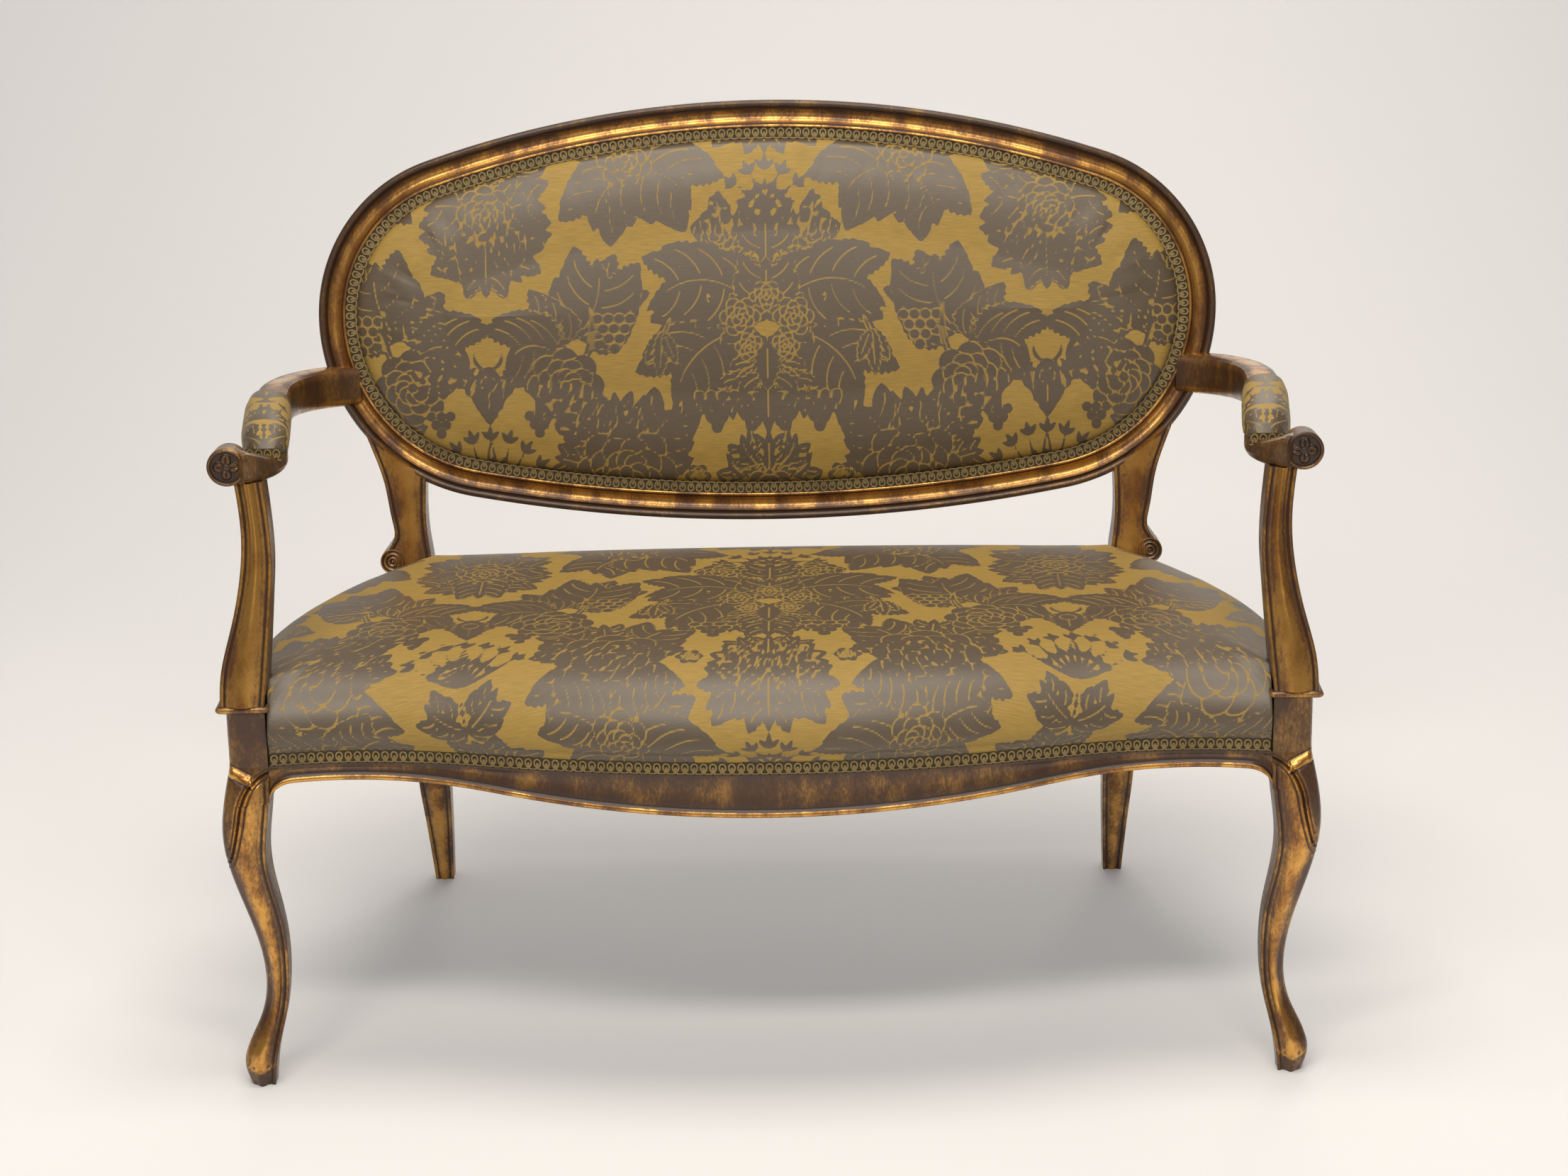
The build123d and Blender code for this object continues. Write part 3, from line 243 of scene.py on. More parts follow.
# %% The class for shader sums
class Wire:
    """One output socket of a material; arithmetic with numbers or other wires adds Math nodes."""

    def __init__(self, tree, socket=None):
        self.tree = tree
        self.socket = socket

    def node(self, kind, settings=None, sockets=None, out=0):
        """Adds a node: its settings first, then numbers or wires on its sockets."""
        made = self.tree.nodes.new("ShaderNode" + kind)
        for key, value in (settings or {}).items():
            setattr(made, key, value)
        for key, value in (sockets or {}).items():
            if isinstance(value, Wire):
                self.tree.links.new(value.socket, made.inputs[key])
            else:
                made.inputs[key].default_value = value
        return Wire(self.tree, made.outputs[out])

    def math(self, operation, *values):
        """A Math node with these values on its sockets, in order."""
        return self.node("Math", {"operation": operation}, dict(enumerate(values)))

    def __add__(self, other):
        return self.math("ADD", self, other)

    def __sub__(self, other):
        return self.math("SUBTRACT", self, other)

    def __mul__(self, other):
        return self.math("MULTIPLY", self, other)

    def __rsub__(self, other):
        return self.math("SUBTRACT", other, self)

    __radd__ = __add__
    __rmul__ = __mul__

    def ramp(self, low, high):
        """Smooth step from 0 at low to 1 at high."""
        sockets = {"Value": self, "From Min": low, "From Max": high}
        return self.node("MapRange", {"interpolation_type": "SMOOTHSTEP"}, sockets)

    def blend(self, first, second):
        """Colour mix: first where this wire is 0, second where it is 1."""
        values = {0: self}
        for place, colour in ((6, first), (7, second)):
            values[place] = colour if isinstance(colour, Wire) else (*colour, 1)
        return self.node("Mix", {"data_type": "RGBA"}, values, 2)

    def field(self, name):
        """A value that the mesh carries at its points."""
        return self.node("Attribute", {"attribute_name": name}, out=2)

    def noise(self, scale, detail, roughness=0.5, distortion=0.0):
        """Noise, read at the place that this wire gives."""
        sockets = {"Vector": self, "Scale": scale, "Detail": detail}
        return self.node("TexNoise", sockets=sockets | {"Roughness": roughness, "Distortion": distortion})

    def bump(self, strength, distance):
        """The normal of a surface that has this wire as its height."""
        return self.node("Bump", sockets={"Strength": strength, "Distance": distance, "Height": self})


def new_material(name):
    """A new material: gives it, a wire to start from and a setter for its shader's sockets."""
    material = bpy.data.materials.new(name)
    material.use_nodes = True
    tree = material.node_tree
    shader = tree.nodes["Principled BSDF"]

    def shade(**sockets):
        for key, value in sockets.items():
            target = shader.inputs[key.replace("_", " ")]
            if isinstance(value, Wire):
                tree.links.new(value.socket, target)
            else:
                target.default_value = value

    return material, Wire(tree), shade


print("methods of a wire:", [name for name in vars(Wire) if not name.startswith("_")])

# %% [markdown]
# ## Old gilding
# The frame was gilded long ago and has been rubbed since. Gold is bright on the raised parts, brown
# ground shows where it wore away, and dirt has settled in every groove. Each carved piece carries a
# value called dark that is 1 at the bottom of its grooves, for that dirt; it is also raised towards the
# edges of each face and on the sides of the posts as painted shade, so that the middle of a face reads
# as lit. The gilding mixes noise for the wear with that value for the dirt and the painted shade.

# %% Gilded wood
GOLD_BRIGHT = (0.72, 0.37, 0.080)
GOLD_WORN = (0.42, 0.18, 0.033)
BROWN_GROUND = (0.13, 0.045, 0.012)
# the darkest brown is laid as dirt in the grooves and as painted shade on the edges and sides of faces
GROOVE_DIRT_AND_SHADE = (0.034, 0.013, 0.005)


def gilded_wood():
    """Gold, brown ground, and dirt with painted shade, mixed by noise drawn out upwards and by the value
    dark.
    """
    material, wire, shade = new_material("gilded_wood")
    dark = wire.field("dark")
    streaks = wire.node("Mapping", sockets={"Vector": wire.node("TexCoord", out=3), "Scale": (1, 1, 0.45)})
    broad = streaks.noise(30, 6, 0.62)
    fine = streaks.noise(420, 4, 0.7)
    gold = broad.ramp(0.40, 0.64).blend(GOLD_BRIGHT, GOLD_WORN)
    # the wear rises a little with the value dark, which holds groove dirt and painted shade
    worn = (broad * 0.6 + fine * 0.4 + dark * 0.2).ramp(0.47, 0.67)
    rubbed = (worn * 0.85).blend(gold, BROWN_GROUND)
    # dirt in the grooves and painted shade on edges and sides, both from the value dark
    dirt_and_shade_mask = (dark + (fine - 0.5) * 0.25 + (broad - 0.5) * 0.4).ramp(0.0, 0.86)
    shade(Base_Color=dirt_and_shade_mask.blend(rubbed, GROOVE_DIRT_AND_SHADE))
    shade(Metallic=0.92 - worn * 0.35 - dirt_and_shade_mask * 0.5, Roughness=0.25 + worn * 0.16 + dirt_and_shade_mask * 0.14)
    shade(Coat_Weight=0.45, Coat_Roughness=0.2)
    shade(Normal=(fine * 0.4 + broad).bump(0.08, 0.002))
    return material


gilding = gilded_wood()
print("material", gilding.name)

# %% [markdown]
# ## The oval frame of the back
# Four lengths of moulding make the oval, joined where its arcs meet: two small arcs at each end, a
# crest and a bottom. A moulding is one profile carried along a path. The path's points and the
# direction to its middle come from the arcs, and the profile's insets run along that direction. The
# whole oval leans back, so it is drawn on a tilted plane first.

# %% The leaning plane and the arcs of the oval
RAKE = np.radians(10.285)
BACK_FOOT = np.array([0.0, 180.9, 504.4])
BACK_UP = np.array([0.0, np.sin(RAKE), np.cos(RAKE)])
BACK_OUT = np.array([0.0, -np.cos(RAKE), np.sin(RAKE)])
OVAL_MIDDLE = 245.0
END_UPPER, END_LOWER = 190.0, 216.5
UPPER_X, LOWER_X = 335.0, 308.5
CREST_Y, CREST = -747.7, 1237.7
BOTTOM_Y, BOTTOM = 1900.4, 1900.4
UPPER_TURN = np.arccos(UPPER_X / (CREST - END_UPPER))
LOWER_TURN = np.arccos(LOWER_X / (BOTTOM - END_LOWER))


def on_back(x, y, lift):
    """Point of the leaning plane: x across, y up the rake, lift towards the sitter."""
    across = np.stack([x, np.zeros_like(x), np.zeros_like(x)], -1)
    return BACK_FOOT + across + np.asarray(y)[..., None] * BACK_UP + np.asarray(lift)[..., None] * BACK_OUT


def arc(centre, radius, start, stop, step):
    """Points on a circle about one step apart, and the unit directions away from its centre."""
    turn = np.linspace(start, stop, int(np.ceil(radius * abs(stop - start) / step)) + 1)
    away = np.stack([np.cos(turn), np.sin(turn)], -1)
    return np.asarray(centre) + radius * away, away


def oval_lengths(step):
    """The oval's lengths, anticlockwise seen from the front: points and outward directions by name."""
    right = [arc((LOWER_X, OVAL_MIDDLE), END_LOWER, -LOWER_TURN, 0, step),
             arc((UPPER_X, OVAL_MIDDLE), END_UPPER, 0, UPPER_TURN, step)]
    left = [arc((-UPPER_X, OVAL_MIDDLE), END_UPPER, np.pi - UPPER_TURN, np.pi, step),
            arc((-LOWER_X, OVAL_MIDDLE), END_LOWER, np.pi, np.pi + LOWER_TURN, step)]
    crest = [arc((0, CREST_Y), CREST, UPPER_TURN, np.pi - UPPER_TURN, step)]
    bottom = [arc((0, BOTTOM_Y), BOTTOM, np.pi + LOWER_TURN, 2 * np.pi - LOWER_TURN, step)]
    named = {"back_stile_right": right, "crest_rail": crest, "back_stile_left": left, "bottom_rail": bottom}
    joined = {}
    for name, arcs in named.items():
        points = np.concatenate([arcs[0][0]] + [a[0][1:] for a in arcs[1:]])
        away = np.concatenate([arcs[0][1]] + [a[1][1:] for a in arcs[1:]])
        joined[name] = (points, away)
    return joined


print("points of each length:", {name: len(length[0]) for name, length in oval_lengths(5).items()})

# %% The moulding of the oval, carried along each length
bead_turn = np.radians(np.arange(180, 21, -14))
cove = np.linspace(0, 1, 9)
OVAL_PROFILE = np.concatenate([
    [(0, -28, 0.6), (0, -12, 0.65)],
    np.stack([4.2 + 4.2 * np.cos(bead_turn), -4.6 + 4.6 * np.sin(bead_turn), 0.68 + 0 * bead_turn], -1),
    [(8.5, -4.6, 0.8), (9.2, -5.4, 1), (10.0, -5.2, 1), (10.6, -4.2, 0.6)],
    np.stack([11.2 + 15.4 * cove, -3.4 - 4.6 * np.sin(np.pi * cove) ** 0.8,
              0.16 + 0.4 * (1 - cove) ** 2], -1),
    [(27.0, -4.2, 0.9), (27.7, -4.0, 0.9), (28.2, -1.9, 0.4), (29.2, -0.9, 0.2), (30.6, -0.8, 0.25)],
    [(31.7, -1.6, 0.5), (32, -3, 0.8), (32, -9, 1), (46, -9, 0.5), (46, -29, 0)],
    [(45, -30, 0), (1.5, -30, 0)],
])

for name, (points, away) in oval_lengths(5).items():
    inset, lift, dark = OVAL_PROFILE.T
    flat = points[:, None] - away[:, None] * inset[:, None]
    length = on_back(flat[..., 0], flat[..., 1], np.broadcast_to(lift, flat.shape[:2]))
    make_piece(name + "_moulding", [bar(length, dark)], gilding, [name])

# %% [markdown]
# ## Sawn posts with a bead along each edge
# Legs, arm supports and uprights are sawn from square timber on two faces, and then a bead and a fine
# groove are cut along their edges. One section does for all of them. Each of its columns has a share
# between the two sides of the post and a fixed distance from the nearer one, so the bead keeps its
# width while the post swells and narrows.

# %% The section shared by the posts
# Columns: distance from the edge, depth, and the value dark: dirt in the groove, painted shade at the edge.
BEAD_CUT = np.array([
    (0.5, 0.50, 0.6), (1.3, 0.12, 0.45), (2.4, 0.0, 0.35), (3.4, 0.25, 0.4), (4.2, 1.0, 0.6),
    (4.9, 1.9, 0.85), (5.6, 1.9, 0.85), (6.3, 1.2, 0.6), (7.2, 0.75, 0.45), (8.6, 0.6, 0.35)])
round_turn = np.radians([8, 25, 45])


def edge_cut(radius):
    """Distance from the edge, depth, and dirt with painted shade along one face: a bead if radius is 0,
    else a plain round.
    """
    if not radius:
        return BEAD_CUT
    cut = np.stack([radius * (1 - np.sin(round_turn[::-1])), radius * (1 - np.cos(round_turn[::-1]))], -1)
    return np.column_stack([cut, np.full(len(cut), 0.52)])


def post_section(front_inner=0, front_outer=0, rear=4.0, columns=9, bulge=1.5):
    """Columns of (share across, offset, share back, offset, dirt and painted shade) round a post."""
    inner, outer, back = edge_cut(front_inner), edge_cut(front_outer), edge_cut(rear)
    middle = np.linspace(0, 1, columns + 2)[1:-1]
    reach_in, reach_out, reach_back = inner[-1, 0], outer[-1, 0], back[-1, 0]
    none = np.zeros(len(middle))

    def run(share_x, off_x, share_y, off_y, dirt_and_shade):
        return np.stack(np.broadcast_arrays(share_x, off_x, share_y, off_y, dirt_and_shade), -1)

    depth = 0.6 if not front_inner else 0.0
    depth_out = 0.6 if not front_outer else 0.0
    front_depth = depth + (depth_out - depth) * middle - bulge * np.sin(np.pi * middle)
    # painted shade: the front face darkens towards both edges so that its middle reads as a highlight, and
    # the sides (flank) and back edges are darker all along
    shaded = 0.5 * np.abs(2 * middle - 1) ** 1.5
    flank = np.full(len(middle), 0.58)
    return np.concatenate([
        run(0, inner[:, 0], 0, inner[:, 1], inner[:, 2]),
        run(middle, reach_in - (reach_in + reach_out) * middle, 0, front_depth, shaded),
        run(1, -outer[::-1, 0], 0, outer[::-1, 1], outer[::-1, 2]),
        run(1, -outer[:, 1], 0, outer[:, 0], outer[:, 2]),
        run(1, -depth_out * (1 - middle), middle, reach_out - (reach_out + reach_back) * middle, flank),
        run(1, -back[::-1, 1], 1, -back[::-1, 0], 0.5),
        run(1, -back[:, 0], 1, -back[:, 1], 0.5),
        run(1 - middle, (2 * middle - 1) * reach_back, 1, none, none),
        run(0, back[::-1, 0], 1, -back[::-1, 1], 0.3),
        run(0, back[:, 1], 1, -back[:, 0], 0.3),
        run(0, depth * middle, 1 - middle, (reach_in + reach_back) * middle - reach_back, flank),
        run(0, inner[::-1, 1], 0, inner[::-1, 0], inner[::-1, 2]),
    ])


def post(section, z, inner, outer, front, rear):
    """Points of a post, a row for each height z, from the places of its four sides at that height."""
    share_x, off_x, share_y, off_y, dirt_and_shade = section.T
    x = inner[:, None] + (outer - inner)[:, None] * share_x + off_x
    y = front[:, None] + (rear - front)[:, None] * share_y + off_y
    return np.stack([x, y, np.broadcast_to(z[:, None], x.shape)], -1)


print("columns of the section:", len(post_section()))

# %% [markdown]
# ## Rear legs and uprights
# Each rear leg is one timber from the floor to the oval. It rakes back below the seat, and above it
# leans with the back, where a small scrolled ear swells on its outer side. The same rows carry on to
# the oval; their tops are held down to just inside its edge, so the upright ends on a slope against the
# moulding.

# %% Rear legs
REAR_INNER, REAR_OUTER = 398.0, 441.0
REAR_FRONT, REAR_BACK = 166.0, 206.0
BLOCK_TOP = 422.0
REAR_FOOT = [(0, 1), (79, 0.8), (159, 0.54), (241, 0.285), (300, 0.11), (345, 0), (350, 0)]
UPRIGHT_INNER = [(422, 0), (440, 0.8), (464, 2.5), (489, 6), (560, 6.5), (652, 6.8)]
UPRIGHT_OUTER = [(422, 0), (438, 4), (454, 12.7), (464, 17), (474, 12), (486, 4.2), (510, 5), (554, 13),
                 (602, 29.8), (652, 48)]
FOOT_TAPER, FOOT_FRONT, FOOT_BACK = 10.0, 151.0, 136.0
RAKE_TOP = 345.0
INTO_OVAL = 7.0


def rear_leg():
    """A post by height: a raked foot, a block, and an upright that leans and stops at the oval's edge."""
    z = np.concatenate([np.arange(0, BLOCK_TOP, 6.0), np.arange(BLOCK_TOP, 640, 3.0)])
    low, high, above = z < RAKE_TOP, z > BLOCK_TOP, np.maximum(z, BLOCK_TOP)
    out = np.where(low, smooth_curve(*np.transpose(REAR_FOOT), np.minimum(z, RAKE_TOP)), 0)
    taper = FOOT_TAPER * np.interp(z, [0, 0.4 * RAKE_TOP, RAKE_TOP], [1, 0.3, 0])
    lean = np.maximum(z - BLOCK_TOP, 0) * np.tan(RAKE)
    inner = REAR_INNER + taper + np.where(high, smooth_curve(*np.transpose(UPRIGHT_INNER), above), 0)
    outer = REAR_OUTER - taper + np.where(high, smooth_curve(*np.transpose(UPRIGHT_OUTER), above), 0)
    front = REAR_FRONT + FOOT_FRONT * out + lean
    rear = REAR_BACK + FOOT_BACK * out + lean - 7 * np.clip((z - 440) / 160, 0, 1)
    section = post_section()
    points = post(section, z, inner, outer, front, rear)
    edge = OVAL_MIDDLE - np.sqrt(np.maximum(END_LOWER**2 - (points[..., 0] - LOWER_X) ** 2, 0))
    top = BACK_FOOT[2] + (edge + INTO_OVAL) * np.cos(RAKE)
    fall = np.minimum(top - points[..., 2], 0)
    points[..., 2] += fall
    points[..., 1] += fall * np.tan(RAKE)
    fade = np.clip((z - 400) / 30, 0.85, 1)[:, None]
    return bar(points, section[:, 4] * fade)


print("points of a rear leg:", len(rear_leg()[0]))

# %% Scrolled ears, and the pair of rear legs
EAR_X, EAR_Z, EAR_FACE, EAR_BACK = 446.5, 462.0, 172.6, 203.0


def ear_scroll():
    """A round boss with ring-shaped grooves: its face rises and falls with the cosine of the radius."""
    radius = np.concatenate([np.linspace(0.01, 13.6, 34), [14.2, 14.5, 14.5, 13.0]])
    turn = np.linspace(0, 2 * np.pi, 60, endpoint=False)
    r, a = np.meshgrid(radius, turn, indexing="ij")
    ring = np.cos(2 * np.pi * r / 4.6)
    y = EAR_FACE - 0.9 * ring
    y[-4:] = [[EAR_FACE], [EAR_FACE + 0.6], [EAR_FACE + 3], [EAR_BACK]]
    aside, up = r * np.cos(a), r * np.sin(a)
    points = np.stack([EAR_X + aside, y + up * np.tan(RAKE), EAR_Z + up], -1)
    return bar(points, 0.62 - 0.3 * ring)


make_pair("rear_leg", "carved", [rear_leg(), ear_scroll()], gilding)

# %% [markdown]
# ## Front legs
# The front legs are cabriole: the knee swells forwards and outwards, the ankle draws in, and the toe
# turns out again. The square post above the knee is in the same timber. On the knee a double bead
# sweeps from the rail across to the outer edge, and leaves a plain leaf above it, and a short ribbon
# lies slantwise where the post begins. Both are carved here by lifting the front of the grid as a
# function of the distance from a line drawn on the face.

# %% Curves and ridges of the front legs
POST_INNER, POST_OUTER = 532.0, 574.0
POST_FRONT, POST_REAR = -292.0, -247.0
POST_LOW, KNEE_TOP, POST_TOP = 338.0, 377.0, 438.0
LEG_OUTER = [(0, 1.5), (0.088, 6.5), (0.194, -10), (0.345, -19), (0.48, -11), (0.61, 1), (0.81, 11), (1, 0)]
LEG_INNER = [(0, 17), (0.125, 10), (0.24, 0), (0.37, -4), (0.505, -2), (0.73, 8), (0.9, 1.5), (1, 1.5)]
LEG_FRONT = [(0, -18), (0.088, -12), (0.194, -24), (0.345, -28), (0.48, -21), (0.61, -8), (0.81, 8), (1, 0)]
LEG_BACK = [(0, 1), (0.125, 5), (0.24, -3), (0.37, -11), (0.505, -6), (0.77, 3), (0.9, 1.5), (1, 1.5)]
SWEEP = [(1.03, 262), (0.86, 269), (0.71, 284), (0.61, 302), (0.565, 320), (0.54, 337), (0.46, 350),
         (0.31, 360), (0.10, 367), (-0.06, 370)]
KNEE_WIDE = 44.0
BEADS_APART, LEAF_APART, LEAF_RISE = 4.6, 6.5, 1.4
RIBBON_HIGH, RIBBON_FALL, RIBBON_END, RIBBON_RISE = 374.5, 20.0, 0.38, 3.5
LIP_HIGH, LIP_BOW = 19.0, 10.0
POST_DIRT, TOE_DIRT = 0.58, 0.62


def sawn_side(face, offsets, z, top):
    """Place of one sawn side: the post's face above top, and the curve through the offsets below it."""
    share = np.minimum(z / KNEE_TOP, 1)
    return face + np.where(z < top, smooth_curve(*np.transpose(offsets), share), 0)


def ridge(distance, width, rise):
    """A round bead with a groove on each side: a cosine hump over the width, and a dip just beyond it."""
    hump = np.where(np.abs(distance) < width, 0.5 + 0.5 * np.cos(np.pi * distance / width), 0)
    dip = np.exp(-((np.abs(distance) - 1.35 * width) / (0.45 * width)) ** 2)
    return rise * hump - 0.55 * rise * dip, dip


def from_sweep(across, height):
    """Distance in mm from the swept line on the leg's front: plus towards the leaf, minus below it."""
    knots = np.arange(len(SWEEP))
    along = np.linspace(0, len(SWEEP) - 1, 120)
    line = np.stack([smooth_curve(knots, column, along) for column in np.transpose(SWEEP)], -1)
    line *= [KNEE_WIDE, 1]
    away = np.stack([across * KNEE_WIDE, height], -1)[..., None, :] - line
    nearest = np.argmin((away**2).sum(-1), -1)
    ahead = np.gradient(line, axis=0)[nearest]
    away = np.take_along_axis(away, nearest[..., None, None], -2)[..., 0, :]
    side = np.sign(ahead[..., 1] * away[..., 0] - ahead[..., 0] * away[..., 1])
    return side * np.linalg.norm(away, axis=-1)


print("top of the ridge, and beside it:", ridge(np.array([0.0, 2.7]), 2.0, 2.0)[0].round(2))

# %% Front legs
def front_leg():
    """A post between four sawn curves; its front rises by ridges at set distances from drawn lines."""
    z = np.concatenate([np.arange(0, 250, 3.0), np.arange(250, 396, 0.8), np.arange(396, 438.1, 4.2)])
    section = post_section(front_outer=8.0, rear=8.0, columns=46, bulge=5.0)
    inner = sawn_side(POST_INNER, LEG_INNER, z, POST_LOW)
    outer = sawn_side(POST_OUTER, LEG_OUTER, z, KNEE_TOP)
    front = sawn_side(POST_FRONT, [(s, -o) for s, o in LEG_FRONT], z, KNEE_TOP)
    rear = sawn_side(POST_REAR, [(s, -o) for s, o in LEG_BACK], z, POST_LOW)
    points = post(section, z, inner, outer, front, rear)
    across = (points[..., 0] - inner[:, None]) / (outer - inner)[:, None]
    square = np.clip((z - 356) / 12, 0, 1)[:, None]
    behind = points[..., 1] - front[:, None]
    points[..., 1] -= square * np.where(behind < 2.2, behind, 0)
    facing = np.clip(1.4 - (points[..., 1] - front[:, None]) / 10, 0, 1)
    height = points[..., 2]
    apart = from_sweep(across, height)
    bead, groove = ridge(apart, 2.0, 2.0)
    second, groove_two = ridge(apart - BEADS_APART, 1.7, 1.5)
    band = RIBBON_HIGH - RIBBON_FALL * (1 - across)
    from_band = np.abs(height - band) / (4.8 + 1.2 * across)
    ribbon = np.sqrt(np.clip(1 - from_band**2, 0, 1)) * np.clip((across - RIBBON_END) / 0.04, 0, 1)
    leaf_panel = np.clip((apart - LEAF_APART) / 3, 0, 1) * np.clip((band - 5 - height) / 3, 0, 1)
    under_lip = height - LIP_HIGH - LIP_BOW * (2 * across - 1) ** 2
    lip, groove_lip = ridge(under_lip, 2.2, 1.2)
    points[..., 1] -= facing * (bead + second + RIBBON_RISE * ribbon + LEAF_RISE * leaf_panel + lip)
    rim = np.exp(-((from_band - 1.25) / 0.22) ** 2) * (across > RIBBON_END)
    fade = np.clip((z - 12) / 20, 0, 1)[:, None]
    marks = [groove * 0.85, groove_two * 0.8, rim * 0.9, leaf_panel * 0.55, groove_lip * 0.7]
    carved = facing * np.maximum(np.maximum.reduce(marks), square * POST_DIRT)
    toe = np.clip(-under_lip / 3, 0, 1) * TOE_DIRT
    # painted highlight: the ribbon is left out of the value dark, painted shade included, so that it reads
    # bright as if catching the light from above
    shown = 1 - np.clip(1.6 * ribbon, 0, 1)
    edges = section[:, 4] * fade * shown * (1 - 0.3 * square)
    return bar(points, np.maximum.reduce([edges, carved * shown, toe]))


make_pair("front_leg", "carved", [front_leg()], gilding)

# %% [markdown]
# ## Arm supports
# A support stands on each post on a half-round collar and bends like an S, in front view and in side
# view alike. The collar is a post too: its four sides go out and in along half a circle.

# %% Supports and collars
COLLAR_TOP, ARM_LOW = 446.0, 674.0
SUPPORT_OUTER = [(0, 5), (0.14, 3), (0.35, -9), (0.56, -19), (0.76, -22), (1, -16)]
SUPPORT_INNER = [(0, 0), (0.21, -5), (0.5, -10.5), (0.62, -12), (0.79, -10), (1, -4)]
SUPPORT_FRONT = [(0, -2), (0.24, 8), (0.5, 24), (0.76, 40), (1, 52)]
SUPPORT_BACK = [(0, 2), (0.24, 5), (0.5, 12), (0.76, 28), (1, 44)]


def arm_support():
    """A post whose four sides follow cubics from the collar up to the arm."""
    share = np.linspace(0, 1, 77)
    z = COLLAR_TOP + (ARM_LOW + 2 - COLLAR_TOP) * share
    faces = (POST_INNER, POST_OUTER, POST_FRONT, POST_REAR)
    curves = (SUPPORT_INNER, SUPPORT_OUTER, SUPPORT_FRONT, SUPPORT_BACK)
    sides = [face + smooth_curve(*np.transpose(curve), share) for face, curve in zip(faces, curves)]
    section = post_section(bulge=6.0, columns=15)
    return bar(post(section, z, *sides), section[:, 4])


def collar():
    """A post whose four sides swell by the cosine of half a turn."""
    turn = np.linspace(-np.pi / 2, np.pi / 2, 11)
    swell = 4.2 * np.cos(turn)
    z = POST_TOP + (COLLAR_TOP - POST_TOP) * (0.5 + 0.5 * np.sin(turn))
    sides = (POST_INNER - swell, POST_OUTER + 6 + swell, POST_FRONT - swell, POST_REAR + swell)
    section = post_section(front_inner=4.0, front_outer=4.0, columns=4, bulge=0)
    return bar(post(section, z, *sides), 0.35 + 0.6 * np.abs(np.sin(turn))[:, None] ** 4)


make_pair("arm_support", "carved", [arm_support(), collar()], gilding)

# %% [markdown]
# ## Arms, volutes and rosettes
# From the hand-hold each arm runs back under its pad, bends inwards and meets the oval. Its section
# follows a plan curve, so the rows stand square to that curve. The hand-hold ends in a volute: a short
# roll whose round face has a rim and a four-petalled rosette. The face is a surface in polar form,
# where height depends on radius and angle.

# %% Arms
ARM_PLAN = [(558, -236, 19), (543, -219, 20.5), (534, -197, 22), (538, -142, 24), (547, -72, 24.5),
            (556, 18, 21), (558, 88, 19), (547, 158, 18), (526, 196, 17), (503, 216, 16), (486, 226, 16)]
ARM_TOP = [(-250, 706), (-232, 711), (-214, 700), (-204, 696), (11, 696), (31, 702), (91, 701), (160, 694),
           (240, 686)]
ARM_UNDER = [(-250, 678), (-225, 674), (-192, 673), (-40, 664), (100, 657), (180, 647), (240, 640)]
HAND_DIRT = 0.62


def arm():
    """A rounded section square to the plan curve, between the curves of its top and its underside."""
    plan = np.array(ARM_PLAN, float)
    walked = np.concatenate([[0], np.cumsum(np.hypot(*np.diff(plan[:, :2], axis=0).T))])
    along = np.linspace(0, walked[-1], 150)
    x, y, half = [smooth_curve(walked, column, along) for column in plan.T]
    ahead = np.gradient(np.stack([x, y], -1), axis=0)
    ahead /= np.linalg.norm(ahead, axis=1, keepdims=True)
    aside = np.stack([ahead[:, 1], -ahead[:, 0]], -1)
    top, under = [np.interp(y, *np.transpose(curve)) for curve in (ARM_TOP, ARM_UNDER)]
    section = post_section(front_inner=9.0, front_outer=9.0, rear=9.0, bulge=0.5)
    flat = post(section, along, -half, half, -top, -under)
    across = flat[..., 0]
    points = np.stack([x[:, None] + aside[:, 0, None] * across, y[:, None] + aside[:, 1, None] * across,
                       -flat[..., 1]], -1)
    handled = HAND_DIRT * np.clip((-185 - y) / 20, 0, 1)
    return bar(points, np.maximum(section[:, 4], handled[:, None]))


print("points of an arm:", len(arm()[0]))

# %% Volutes, and the pair of arms
VOLUTE_X, VOLUTE_Z = 564.0, 694.0
VOLUTE_FACE, VOLUTE_BACK, VOLUTE_SUNK = -244.0, -214.0, 2.2


